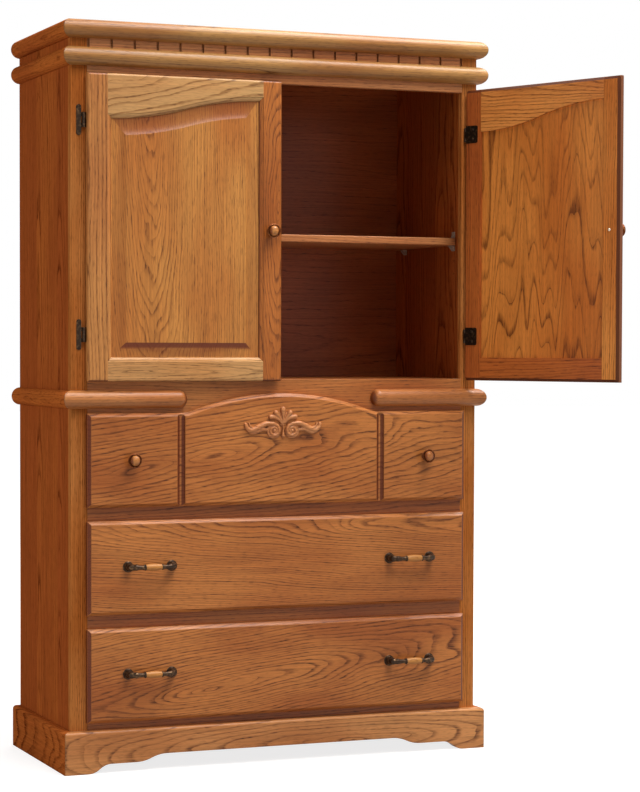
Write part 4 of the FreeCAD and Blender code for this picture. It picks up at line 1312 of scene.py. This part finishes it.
@dataclass
class Pull:
    """Cast bronze pull with a turned oak grip; sizes in millimetres, distances from the drawer's face."""

    foot: Profile = (
        (12.6, 0.0), (13.2, 0.6), (13.3, 1.6), (12.6, 2.6), (11.0, 3.1), (10.4, 4.2), (10.1, 6.0), (9.6, 8.6),
        (8.6, 11.0), (7.6, 12.6))
    # The bent arm as distance across, distance out and radius.
    arm: Stations = (
        (55.0, 8.0, 7.2), (55.0, 15.0, 7.6), (52.4, 22.4, 8.3), (47.4, 26.4, 6.8), (43.0, 28.2, 7.3),
        (37.0, 29.8, 5.7), (30.0, 30.7, 5.1), (24.0, 31.0, 5.5))
    collar: Profile = ((5.4, -1.0), (7.2, -0.6), (7.6, 0.6), (7.4, 2.0), (6.6, 3.0))
    screw: BackScrew = BackScrew(bite=2.0, head=((4.0, 0.0), (4.0, 0.8), (3.2, 1.8), (1.6, 2.4)), sides=24)
    half_span: float = 55.0
    standoff: float = 31.0
    grip_half: float = 20.5
    # Radius of the grip in the middle, how much it is less at the ends, and that of its end faces.
    grip_radius: tuple[float, float, float] = (8.3, 1.7, 6.0)
    grip_chamfer: float = 0.4
    grip_steps: int = 14
    arm_steps: int = 5
    arm_sides: int = 24

    def metal(self, shape: Shape, across: float, height: float, depth: float) -> None:
        """Add the feet, arms, collars and back screws of one pull.

        Args:
            shape: The mesh that gets them.
            across: Middle of the pull, across the drawer.
            height: Its height.
            depth: Thickness of the drawer's front and box behind it.
        """
        for side in (-1, 1):
            place = Vector((across + side * self.half_span, DRAWER_FACE, height))
            shape.turned(self.foot, place, FORWARD)
            self.screw.add(shape, place, FORWARD, depth)
            arm = curve_through(self.arm, self.arm_steps)
            run = [(across + side * x, DRAWER_FACE - y, height, r, r) for x, y, r in arm]
            shape.swept(run, Vector((0.0, 0.0, 1.0)), self.arm_sides)
            inner = Vector((across + side * self.grip_half, DRAWER_FACE - self.standoff, height))
            shape.turned(self.collar, inner, Vector((float(side), 0.0, 0.0)))

    def grip(self, shape: Shape, across: float, height: float) -> None:
        """Add the barrel-shaped grip of one pull.

        Args:
            shape: The mesh that gets it.
            across: Middle of the pull, across the drawer.
            height: Its height.
        """
        middle, less, end = self.grip_radius
        profile = [(end, -self.grip_half)]
        for step in range(self.grip_steps + 1):
            t = 2 * step / self.grip_steps - 1
            profile.append((middle - less * t * t, t * (self.grip_half - self.grip_chamfer)))
        profile.append((end, self.grip_half))
        shape.turned(profile, Vector((across, DRAWER_FACE - self.standoff, height)), Vector((1.0, 0.0, 0.0)))


@dataclass
class HingeScrews:
    """Cross-head screws of one body's hinges, laid out by a node tree; sizes in millimetres."""

    node: str
    body: str
    places: list[Vector]
    facing: Vector
    head_radius: float = 3.4
    crown_radius: float = 2.2
    head_height: float = 1.1
    shank_radius: float = 1.6
    shank_length: float = 12.0
    slot_width: float = 0.8
    # Length of the slots in radii of the crown, and the height of their middle in heights of the head.
    slot_reach: float = 1.7
    slot_rise: float = 0.75
    head_sides: int = 28
    shank_sides: int = 20
    crease: float = 30.0
    seed: int = 7

    def sizes(self) -> dict[str, float]:
        """Name the sizes as the node tree does.

        Returns:
            Sizes in metres by their names.
        """
        return {
            "Head Radius": self.head_radius * MM, "Crown Radius": self.crown_radius * MM,
            "Head Height": self.head_height * MM, "Shank Radius": self.shank_radius * MM,
            "Shank Length": self.shank_length * MM, "Slot Width": self.slot_width * MM,
        }

    def tree(self) -> NodeTree:
        """Build the node tree that sets a screw on every point.

        Returns:
            The tree, with its sizes as inputs.
        """
        tree = bpy.data.node_groups.new(f"{self.node}.layout", "GeometryNodeTree")
        add = partial(add_node, tree)
        kinds = {"Geometry": "Geometry"} | {name: "Float" for name in self.sizes()}
        kinds |= {"Facing": "Vector", "Seed": "Int", "Finish": "Material"}
        for name, kind in kinds.items():
            tree.interface.new_socket(name, in_out="INPUT", socket_type=f"NodeSocket{kind}")
        tree.interface.new_socket("Geometry", in_out="OUTPUT", socket_type="NodeSocketGeometry")
        given = add("NodeGroupInput")
        head = add("GeometryNodeMeshCone", {
            "Vertices": self.head_sides, "Depth": given["Head Height"],
            "Radius Top": given["Crown Radius"], "Radius Bottom": given["Head Radius"],
        })["Mesh"]
        arm = add("ShaderNodeMath", {0: given["Crown Radius"], 1: self.slot_reach}, operation="MULTIPLY")[0]
        bars = []
        for sizes in ((arm, given["Slot Width"]), (given["Slot Width"], arm)):
            size = add("ShaderNodeCombineXYZ", {0: sizes[0], 1: sizes[1], 2: given["Head Height"]})[0]
            bars.append(add("GeometryNodeMeshCube", {"Size": size})["Mesh"])
        rise = add("ShaderNodeMath", {0: given["Head Height"], 1: self.slot_rise}, operation="MULTIPLY")[0]
        lifted = add("ShaderNodeCombineXYZ", {2: rise})[0]
        cross = add("GeometryNodeJoinGeometry", {0: bars})[0]
        cross = add("GeometryNodeTransform", {"Geometry": cross, "Translation": lifted})[0]
        cut = add("GeometryNodeMeshBoolean", {
            "Mesh 1": head, "Mesh 2": cross, "Self Intersection": True,
        }, operation="DIFFERENCE", solver="EXACT")["Mesh"]
        drop = add("ShaderNodeMath", {0: given["Shank Length"], 1: -0.5}, operation="MULTIPLY")[0]
        lowered = add("ShaderNodeCombineXYZ", {2: drop})[0]
        shank = add("GeometryNodeMeshCylinder", {
            "Vertices": self.shank_sides, "Radius": given["Shank Radius"], "Depth": given["Shank Length"],
        })["Mesh"]
        shank = add("GeometryNodeTransform", {"Geometry": shank, "Translation": lowered})[0]
        screw = add("GeometryNodeJoinGeometry", {0: [cut, shank]})[0]
        upright = add("FunctionNodeAlignRotationToVector", {"Vector": given["Facing"]}, axis="Z")[0]
        chance = add("FunctionNodeRandomValue", {
            "Max": math.pi, "Seed": given["Seed"],
        }, data_type="FLOAT")["Value"]
        spin = add("FunctionNodeAxisAngleToRotation", {"Axis": (0.0, 0.0, 1.0), "Angle": chance})[0]
        turned = add("FunctionNodeRotateRotation", {
            "Rotation": upright, "Rotate By": spin,
        }, rotation_space="LOCAL")[0]
        set_out = add("GeometryNodeInstanceOnPoints", {
            "Points": given["Geometry"], "Instance": screw, "Rotation": turned,
        })[0]
        real = add("GeometryNodeRealizeInstances", {"Geometry": set_out})[0]
        dressed = add("GeometryNodeSetMaterial", {"Geometry": real, "Material": given["Finish"]})[0]
        add("NodeGroupOutput", {0: dressed})
        return tree

    def build(self, material: Material) -> None:
        """Lay out the screws and set them in place of the plain ones.

        Args:
            material: Their finish.
        """
        points = bpy.data.meshes.new(f"{self.node}.points")
        points.from_pydata([place * MM for place in self.places], [], [])
        draft = bpy.data.objects.new(f"{self.node}.draft", points)
        bpy.context.scene.collection.objects.link(draft)
        layout = draft.modifiers.new("layout", "NODES")
        layout.node_group = self.tree()
        values = self.sizes() | {"Facing": tuple(self.facing), "Seed": self.seed, "Finish": material}
        for item in layout.node_group.interface.items_tree:
            if item.in_out == "INPUT" and item.name in values:
                layout[item.identifier] = values[item.name]
        mesh = plain_mesh(draft)
        piece = finished(mesh, f"{self.node}_cut", material, self.crease)
        stand_in(piece, self.node, self.body)


@dataclass
class Case:
    """Fixed case: sides, face frame, mouldings, plinth, inside boards and the fixed hardware."""

    boards: dict[str, OakFinish] = field(default_factory=lambda: {
        "left_side_panel": matt_oak(SIENNA, Grain.UPRIGHT_SIDE, Figure(
            ring=6.0, heart=(0.0, 60.0), depth=70.0, lean=0.03, sway=6.0, board=92.0, bold=0.9, seed=1.0)),
        "right_side_panel": matt_oak(SIENNA, Grain.UPRIGHT_SIDE, Figure(
            ring=6.0, heart=(0.0, 40.0), depth=60.0, lean=0.03, sway=6.0, board=92.0, bold=0.9, seed=2.0)),
        "back_panel": OakFinish(CELLAR, Grain.ALONG_FRONT, Figure(
            ring=16.0, heart=(0.0, 120.0), depth=20.0, lean=0.06, sway=30.0, ripple=5.0, bold=0.6, seed=3.0)),
        "top_panel": OakFinish(HONEY, Grain.FLAT, Figure(
            heart=(100.0, 30.0), depth=50.0, lean=0.06, board=110.0, seed=4.0)),
        "tv_deck": OakFinish(RUSSET, Grain.FLAT, Figure(
            heart=(-50.0, 20.0), depth=45.0, board=105.0, seed=5.0)),
        "bottom_panel": OakFinish(CELLAR, Grain.FLAT, Figure(
            heart=(60.0, 20.0), depth=45.0, board=105.0, seed=6.0)),
        "shelf": OakFinish(CARVED, Grain.FLAT, Figure(
            heart=(0.0, 40.0), depth=60.0, board=100.0, bold=0.7, seed=7.0)),
        "frame_stiles": matt_oak(HAZEL, Grain.UPRIGHT_FRONT, Figure(
            ring=4.5, heart=(0.0, 0.0), depth=120.0, lean=0.02, sway=7.0, seed=8.0)),
        "dentil_top_rail": OakFinish(CARVED, Grain.ALONG_FRONT, Figure(
            heart=(0.0, 90.0), depth=40.0, lean=0.04, bold=0.7, seed=9.0)),
        "waist_rail": OakFinish(AUBURN, Grain.ALONG_FRONT, Figure(
            ring=6.0, heart=(120.0, 60.0), depth=20.0, lean=0.06, sway=14.0, flame=6.0, bold=0.7, seed=10.0)),
        "drawer_rails": OakFinish(RUSSET, Grain.ALONG_FRONT, Figure(
            heart=(0.0, 160.0), depth=50.0, lean=0.04, seed=11.0)),
        "bottom_rail": OakFinish(RUSSET, Grain.ALONG_FRONT, Figure(
            heart=(0.0, 90.0), depth=40.0, seed=12.0)),
        "crown_upper_front": OakFinish(TAWNY, Grain.ALONG_FRONT, Figure(
            ring=3.6, heart=(-200.0, 130.0), depth=60.0, lean=0.02, sway=9.0, bold=0.75, seed=13.0)),
        "crown_upper_returns": matt_oak(SIENNA, Grain.DEEP_SIDE, Figure(
            ring=3.6, heart=(60.0, 130.0), depth=60.0, lean=0.02, bold=0.75, seed=14.0)),
        "crown_lower_front": OakFinish(TAWNY, Grain.ALONG_FRONT, Figure(
            ring=3.6, heart=(150.0, -130.0), depth=60.0, lean=0.02, sway=9.0, bold=0.75, seed=15.0)),
        "crown_lower_returns": matt_oak(SIENNA, Grain.DEEP_SIDE, Figure(
            ring=3.6, heart=(-60.0, 130.0), depth=60.0, lean=0.02, bold=0.75, seed=16.0)),
        "waist_bead_front": OakFinish(HONEY, Grain.ALONG_FRONT, Figure(
            ring=3.6, heart=(-340.0, 130.0), depth=60.0, lean=0.03, sway=9.0, bold=0.75, seed=17.0)),
        "waist_bead_returns": matt_oak(SIENNA, Grain.DEEP_SIDE, Figure(
            ring=3.6, heart=(0.0, 130.0), depth=60.0, lean=0.02, bold=0.75, seed=18.0)),
        "plinth_front": OakFinish(HONEY, Grain.ALONG_FRONT, Figure(
            ring=9.0, heart=(180.0, -10.0), depth=8.0, lean=0.12, sway=12.0, flame=9.0, seed=19.0)),
        "plinth_sides": matt_oak(SIENNA, Grain.DEEP_SIDE, Figure(
            ring=7.0, heart=(40.0, 10.0), depth=14.0, lean=0.1, seed=20.0)),
        "plinth_back": OakFinish(CELLAR, Grain.ALONG_FRONT, Figure(seed=21.0)),
        "slide_cleats": OakFinish(CELLAR, Grain.DEEP_SIDE, Figure(seed=22.0)),
    })
    # Screws of the frame leaves: across, deep, and above and below each hinge's middle.
    screw_place: tuple[float, float, float] = (513.0, -455.5, 30.5)

    def build(self) -> None:
        """Dress the boards and the fixed hardware."""
        for node, finish in self.boards.items():
            dress(node, finish.material(node, middle_of(node)))
        bronze = BronzeFinish().material("frame_hinges")
        for node in ("hinge_frame_leaves", "hinge_pins"):
            dress(node, bronze)
        across, deep, rise = self.screw_place
        places = [
            Vector((side * across, deep, height + step))
            for side in (-1, 1) for height in HINGE_HEIGHTS for step in (-rise, rise)
        ]
        HingeScrews("hinge_frame_screws", "case", places, FORWARD).build(bronze)
        dress("slide_case_rails", SteelFinish().material("case_rails"))
        dress("shelf_clips", PlasticFinish().material("shelf_clips"))


@dataclass
class Door:
    """A frame-and-panel door; the right-hand one stands open and its boards turn with it."""

    side: str
    turn: float
    panel: OakFinish
    hinge_stile: OakFinish
    lock_stile: OakFinish
    top_rail: OakFinish
    bottom_rail: OakFinish
    knob: OakFinish = OakFinish(
        WHEAT, Grain.ALONG_FRONT, Figure(ring=3.0, heart=(0.0, 5.0), depth=6.0, bold=0.5), easing=1.0)
    knob_screw: SteelFinish = SteelFinish("#E6DCCB", "#C9BBA4")
    knob_place: tuple[float, float] = (32.5, 1301.5)
    # Screws of the hinge leaves: across, deep, and above and below each hinge's middle.
    screw_place: tuple[float, float, float] = (474.0, -454.5, 12.0)
    crease: float = 22.0
    panel_crease: float = 12.0

    def build(self) -> None:
        """Build and dress the boards, the knob and the hinge leaves."""
        hand = 1 if self.turn else -1
        swing = Matrix.Rotation(self.turn, 3, "Z")
        boards = DoorBoards(bool(self.turn), swing)
        self._board("raised_panel", "panel", boards.panel_shape(), self.panel, crease=self.panel_crease)
        self._board("arched_rail", "top_rail", boards.rail_shape(True), self.top_rail)
        self._board("plain_rail", "bottom_rail", boards.rail_shape(False), self.bottom_rail)
        aside = (boards.inner - boards.outer - boards.stile) / 2 * hand
        self._board("hinge_stile", "stiles", boards.stile_shape(False), self.hinge_stile, aside)
        self._board("lock_stile", "stiles", boards.stile_shape(True), self.lock_stile, -aside)
        bronze = BronzeFinish().material(f"{self.side}_door")
        dress(f"{self.side}_door_hinge_leaves", bronze)
        place = swung(Vector((hand * self.knob_place[0], boards.face, self.knob_place[1])), swing)
        self._knob(place, swing @ FORWARD, boards.thickness)
        across, deep, rise = self.screw_place
        places = [
            swung(Vector((hand * across, deep, height + step)), swing)
            for height in HINGE_HEIGHTS for step in (-rise, rise)
        ]
        backward = swing @ Vector((0.0, 1.0, 0.0))
        HingeScrews(f"{self.side}_door_hinge_screws", f"{self.side}_door", places, backward).build(bronze)

    def _board(
        self, name: str, node: str, shape: Shape, finish: OakFinish, aside: float = 0.0, crease: float = 0.0,
    ) -> None:
        """Dress a board and set it in place.

        Args:
            name: Name of the board.
            node: The node of this door that it replaces.
            shape: Its mesh.
            finish: Its finish.
            aside: Distance of its middle from the node's, across the door.
            crease: Angle from which its edges stay sharp, or nought for the door's own.
        """
        middle = middle_of(f"left_door_{node}")
        if self.turn:
            middle.x = -middle.x
        middle.x += aside * MM
        name = f"{self.side}_door_{name}"
        piece = shape.piece(name, finish.material(name, middle, self.turn), crease or self.crease)
        stand_in(piece, f"{self.side}_door_{node}", f"{self.side}_door")

    def _knob(self, place: Vector, out: Vector, depth: float) -> None:
        """Fit the knob and the plated screw that holds it from behind.

        Args:
            place: Middle of the foot on the door's face, in millimetres.
            out: Direction that the knob points in.
            depth: Thickness of the board behind it.
        """
        cup, dome, screw, knob = Shape(), Shape(), Shape(), Knob()
        cup.turned(knob.cup, place, out)
        dome.turned(knob.dome, place, out)
        knob.screw.add(screw, place, out, depth)
        body = f"{self.side}_door"
        wood = self.knob.material(f"{body}_insert", place * MM)
        plated = self.knob_screw.material(f"{body}_screw")
        copper = COPPERY.material(f"{body}_knob")
        stand_in(cup.piece(f"{body}_knob_cup", copper), f"{body}_knob_foot", body)
        stand_in(screw.piece(f"{body}_knob_screw", plated), f"{body}_knob_foot", body)
        stand_in(dome.piece(f"{body}_knob_insert", wood), f"{body}_knob", body)


@dataclass
class Drawer:
    """A drawer: its front, box, rails and handles; sizes in millimetres."""

    name: str
    front: OakFinish
    seed: float
    # Height of the pulls, or nought for a drawer with knobs.
    pull_height: float = 0.0
    pull_places: tuple[float, float] = (-342.0, 342.0)
    knob_places: tuple[float, float] = (-385.5, 385.5)
    # Front and box together, behind the handles.
    thickness: float = 31.0
    handle_figure: Figure = Figure(ring=3.0, heart=(0.0, 4.0), depth=6.0, bold=0.5)

    def build(self) -> None:
        """Dress the front, the box and the rails, and fit the handles."""
        box = OakFinish(BIRCH, Grain.FLAT, Figure(ring=9.0, board=140.0, bold=0.4, seed=self.seed))
        for node, finish in ((f"{self.name}_front", self.front), (f"{self.name}_box", box)):
            dress(node, finish.material(node, middle_of(node)))
        dress(f"{self.name}_rails", SteelFinish().material(self.name))
        if self.pull_height:
            self._pulls()
        else:
            self._knobs()

    def _pulls(self) -> None:
        """Fit the two pulls and their screws."""
        metal, grips, pull = Shape(), Shape(), Pull()
        for across in self.pull_places:
            pull.metal(metal, across, self.pull_height, self.thickness)
            pull.grip(grips, across, self.pull_height)
        bronze = BronzeFinish().material(self.name)
        finish = OakFinish(BLOND, Grain.ALONG_FRONT, self.handle_figure)
        wood = finish.material(f"{self.name}_handles", middle_of(f"{self.name}_box"))
        body = self.name
        stand_in(metal.piece(f"{body}_cast_pulls", bronze), f"{body}_pulls", body)
        stand_in(grips.piece(f"{body}_turned_grips", wood), f"{body}_grips", body)

    def _knobs(self) -> None:
        """Fit the two knobs and their screws."""
        cups, domes, knob = Shape(), Shape(), Knob()
        middle = middle_of(f"{self.name}_knobs")
        for across in self.knob_places:
            place = Vector((across, DRAWER_FACE, middle.z / MM))
            cups.turned(knob.cup, place, FORWARD)
            knob.screw.add(cups, place, FORWARD, self.thickness)
            domes.turned(knob.dome, place, FORWARD)
        copper = COPPERY.material(f"{self.name}_knobs")
        finish = OakFinish(WHEAT, Grain.ALONG_FRONT, self.handle_figure, easing=1.0)
        wood = finish.material(f"{self.name}_knobs", middle)
        body = self.name
        stand_in(cups.piece(f"{body}_knob_cups", copper), f"{body}_knob_feet", body)
        stand_in(domes.piece(f"{body}_knob_inserts", wood), f"{body}_knobs", body)


@dataclass(frozen=True)
class Lamp:
    """A soft square lamp, in metres and watts.

    Attributes:
        name: Its name.
        place: Where it hangs.
        aim: Point that it faces.
        size: Length of its sides.
        power: Its output.
        mirrored: Whether glossy surfaces show it.
    """

    name: str
    place: tuple[float, float, float]
    aim: tuple[float, float, float]
    size: float
    power: float
    mirrored: bool = True

    def build(self) -> None:
        """Hang the lamp."""
        light = bpy.data.lights.new(self.name, "AREA")
        light.size = self.size
        light.energy = self.power
        lamp = bpy.data.objects.new(self.name, light)
        lamp.location = self.place
        lamp.rotation_euler = (Vector(self.aim) - Vector(self.place)).to_track_quat("-Z", "Y").to_euler()
        lamp.visible_glossy = self.mirrored
        bpy.context.scene.collection.objects.link(lamp)


@dataclass
class Studio:
    """Pale floor, white surroundings, soft lamps and the camera at the photograph's angle."""

    floor_size: float = 60.0
    camera_place: tuple[float, float, float] = (-2.1106, -5.8216, 1.0180)
    camera_yaw: float = -22.349
    camera_pitch: float = -2.035
    camera_roll: float = 0.162
    focal_pixels: float = 2347.35
    frame_width: float = 640.0
    axis_pixel: tuple[float, float] = (316.0, 431.1)
    frame_middle: tuple[float, float] = (320.0, 396.0)
    sensor: float = 36.0
    ambient: float = 0.24
    floor_colour: str = "#A3A19D"
    # How much the floor is lit up for the camera near the piece, and where that grows to all white.
    floor_lift: float = 0.8
    floor_fade: tuple[float, float] = (1.0, 2.6)
    lamps: tuple[Lamp, ...] = (
        Lamp("key_lamp", (0.57, -5.12, 7.42), (0.0, -0.45, 0.95), size=3.2, power=335.0),
        Lamp("side_lamp", (-6.0, -1.2, 1.6), (0.0, -0.4, 0.9), size=2.0, power=85.0, mirrored=False),
        Lamp("sky_lamp", (1.5, -1.05, 4.6), (0.2, -0.6, 0.9), size=2.1, power=230.0),
        Lamp("back_lamp", (2.2, 5.2, 3.4), (0.0, 0.0, 0.9), size=3.0, power=200.0, mirrored=False),
    )

    def build(self) -> None:
        """Make the floor, the world, the lamps and the camera."""
        self._floor()
        self._world()
        for lamp in self.lamps:
            lamp.build()
        self._camera()
        bpy.context.scene.view_settings.view_transform = "Standard"

    def _floor(self) -> None:
        """Lay a plain pale floor that keeps the shadow and looks white to the camera."""
        mesh = bpy.data.meshes.new("floor")
        half = self.floor_size / 2
        corners = [(-half, -half, 0), (half, -half, 0), (half, half, 0), (-half, half, 0)]
        mesh.from_pydata(corners, [], [(0, 1, 2, 3)])
        floor = bpy.data.objects.new("floor", mesh)
        bpy.context.scene.collection.objects.link(floor)
        material, add = new_material("pale_floor")
        seen = self._seen(add)
        place = add("ShaderNodeTexCoord")["Object"]
        reach = add("ShaderNodeVectorMath", {0: place}, operation="LENGTH")["Value"]
        lift = add("ShaderNodeMapRange", {
            "Value": reach, "From Min": self.floor_fade[0], "From Max": self.floor_fade[1],
            "To Min": self.floor_lift, "To Max": 1.0,
        })[0]
        lift = add("ShaderNodeMath", {0: seen, 1: lift}, operation="MULTIPLY")[0]
        matt = add("ShaderNodeBsdfDiffuse", {"Color": linear(self.floor_colour)})
        glow = add("ShaderNodeEmission", {"Strength": lift})
        both = add("ShaderNodeAddShader", {0: matt[0], 1: glow[0]})
        add("ShaderNodeOutputMaterial", {"Surface": both[0]})
        mesh.materials.append(material)

    def _world(self) -> None:
        """Surround the piece with soft light that is white to the camera and plain for the rest."""
        world = bpy.data.worlds.new("white_surround")
        bpy.context.scene.world = world
        world.use_nodes = True
        world.node_tree.nodes.clear()
        add = partial(add_node, world.node_tree)
        seen = self._seen(add)
        strength = add("ShaderNodeMapRange", {"Value": seen, "To Min": self.ambient, "To Max": 1.0})[0]
        shade = add("ShaderNodeBackground", {"Color": (1.0, 1.0, 1.0, 1.0), "Strength": strength})
        add("ShaderNodeOutputWorld", {"Surface": shade[0]})

    @staticmethod
    def _seen(add: Adder) -> NodeSocket:
        """Tell the rays that show a surface to the camera, straight or by a mirror or glass, from the rest.

        Args:
            add: Adds a node to the tree at hand.

        Returns:
            One for such rays, nought for the others.
        """
        path = add("ShaderNodeLightPath")
        seen = path["Is Camera Ray"]
        for kind in ("Is Glossy Ray", "Is Transmission Ray"):
            seen = add("ShaderNodeMath", {0: seen, 1: path[kind]}, operation="MAXIMUM")[0]
        return seen

    def _camera(self) -> None:
        """Set the camera at the photograph's place, angle and framing."""
        camera = bpy.data.cameras.new("photo_camera")
        camera.sensor_fit = "HORIZONTAL"
        camera.sensor_width = self.sensor
        camera.lens = self.sensor * self.focal_pixels / self.frame_width
        camera.shift_x = (self.frame_middle[0] - self.axis_pixel[0]) / self.frame_width
        camera.shift_y = (self.axis_pixel[1] - self.frame_middle[1]) / self.frame_width
        piece = bpy.data.objects.new("photo_camera", camera)
        level = math.radians(90.0 + self.camera_pitch)
        turn = Matrix.Rotation(math.radians(self.camera_yaw), 4, "Z") @ Matrix.Rotation(level, 4, "X")
        roll = Matrix.Rotation(math.radians(self.camera_roll), 4, "Z")
        piece.matrix_world = Matrix.Translation(self.camera_place) @ turn @ roll
        bpy.context.scene.collection.objects.link(piece)
        bpy.context.scene.camera = piece


def left_door() -> Door:
    """Choose the boards of the shut door, seen from outside.

    Returns:
        The left-hand door.
    """
    return Door(
        "left", 0.0,
        panel=panel_oak(GOLDEN, figure=Figure(
            ring=5.0, heart=(330.0, -96.0), depth=6.0, lean=-0.12, drift=-0.03, sway=12.0, flame=4.0,
            flame_size=(160.0, 40.0), ripple=2.4, bold=0.8, seed=31.0)),
        hinge_stile=door_oak(WHEAT, Grain.UPRIGHT_FRONT, Figure(
            ring=9.0, heart=(0.0, -90.0), depth=40.0, lean=0.03, sway=12.0, flame=8.0,
            flame_size=(260.0, 50.0), ripple=2.6, seed=32.0), early_wood=4.0),
        lock_stile=door_oak(RUDDY, Grain.UPRIGHT_FRONT, Figure(
            ring=5.5, heart=(40.0, 18.0), depth=6.0, lean=0.13, drift=0.02, sway=10.0, flame=6.0,
            flame_size=(160.0, 60.0), ripple=2.4, bold=0.9, seed=35.0), long_edge="#5A2E16"),
        top_rail=door_oak(FLAXEN, Grain.ALONG_FRONT, Figure(
            ring=17.0, heart=(-150.0, 60.0), depth=24.0, lean=0.1, drift=0.2, sway=22.0, flame=12.0,
            flame_size=(120.0, 50.0), ripple=6.0, seed=33.0), early_wood=6.0),
        bottom_rail=door_oak(PALE, Grain.ALONG_FRONT, Figure(
            ring=5.0, heart=(-60.0, -8.0), depth=14.0, lean=0.06, ripple=2.4, bold=0.6, seed=34.0)),
    )


def right_door() -> Door:
    """Choose the boards of the open door, seen from inside.

    Returns:
        The right-hand door.
    """
    return Door(
        "right", RIGHT_DOOR_TURN,
        panel=panel_oak(COPPER, figure=Figure(
            ring=9.0, heart=(0.0, -50.0), depth=150.0, lean=0.085, flat=0.45, flame=30.0,
            flame_size=(900.0, 72.0), ripple=1.3, seed=41.0)),
        hinge_stile=door_oak(SIENNA, Grain.UPRIGHT_FRONT, Figure(
            ring=5.5, heart=(0.0, 120.0), depth=60.0, lean=0.03, bold=0.75, seed=42.0)),
        lock_stile=door_oak(AMBER, Grain.UPRIGHT_FRONT, Figure(
            ring=6.0, heart=(0.0, -90.0), depth=50.0, lean=0.03, sway=10.0, ripple=2.2, bold=0.85, seed=45.0),
            gloss=0.06, coat=0.12, long_edge="#7A4A34"),
        top_rail=door_oak(AMBER, Grain.ALONG_FRONT, Figure(
            ring=7.0, heart=(-60.0, 60.0), depth=30.0, lean=0.06, sway=12.0, flame=6.0, seed=43.0)),
        bottom_rail=door_oak(SIENNA, Grain.ALONG_FRONT, Figure(
            ring=7.0, heart=(0.0, -60.0), depth=30.0, sway=10.0, bold=0.8, seed=44.0)),
    )


def drawers() -> list[Drawer]:
    """Choose the fronts of the drawers.

    Returns:
        The three drawers, from the top.
    """
    return [
        Drawer("top_drawer", drawer_oak(figure=Figure(
            ring=10.0, heart=(-330.0, -40.0), depth=10.0, lean=0.1, drift=0.16, sway=20.0, flame=14.0,
            flame_size=(170.0, 90.0), ripple=3.6, seed=51.0), early_wood=4.5, slant=0.85,
            slant_range=(0.08, 0.3)), seed=61.0),
        Drawer("middle_drawer", drawer_oak(figure=Figure(
            ring=5.0, heart=(740.0, 74.0), depth=8.0, lean=0.07, drift=-0.05, sway=12.0, flame=6.0,
            flame_size=(220.0, 80.0), ripple=1.8, seed=52.0)), seed=62.0, pull_height=493.0),
        Drawer("lower_drawer", drawer_oak(figure=Figure(
            ring=6.5, heart=(-170.0, -40.0), depth=3.0, lean=0.13, drift=0.13, sway=10.0, flame=9.0,
            flame_size=(200.0, 80.0), ripple=2.0, seed=53.0)), seed=63.0, pull_height=235.5),
    ]


def main() -> None:
    """Build the piece from its sub-assemblies."""
    logging.basicConfig(level=logging.INFO, format="%(name)s: %(message)s")
    Case().build()
    left_door().build()
    right_door().build()
    for drawer in drawers():
        drawer.build()
    # The carving gets painted shade in its hollows.
    carving = OakFinish(CARVED, Grain.ALONG_FRONT, Figure(
        ring=6.0, heart=(0.0, 60.0), depth=20.0, bold=0.5, seed=71.0), easing=1.0, hollow=9.0)
    Carving().build(carving.material("carving", middle_of("top_drawer_shell")))
    Studio().build()


if __name__ == "__main__":
    main()
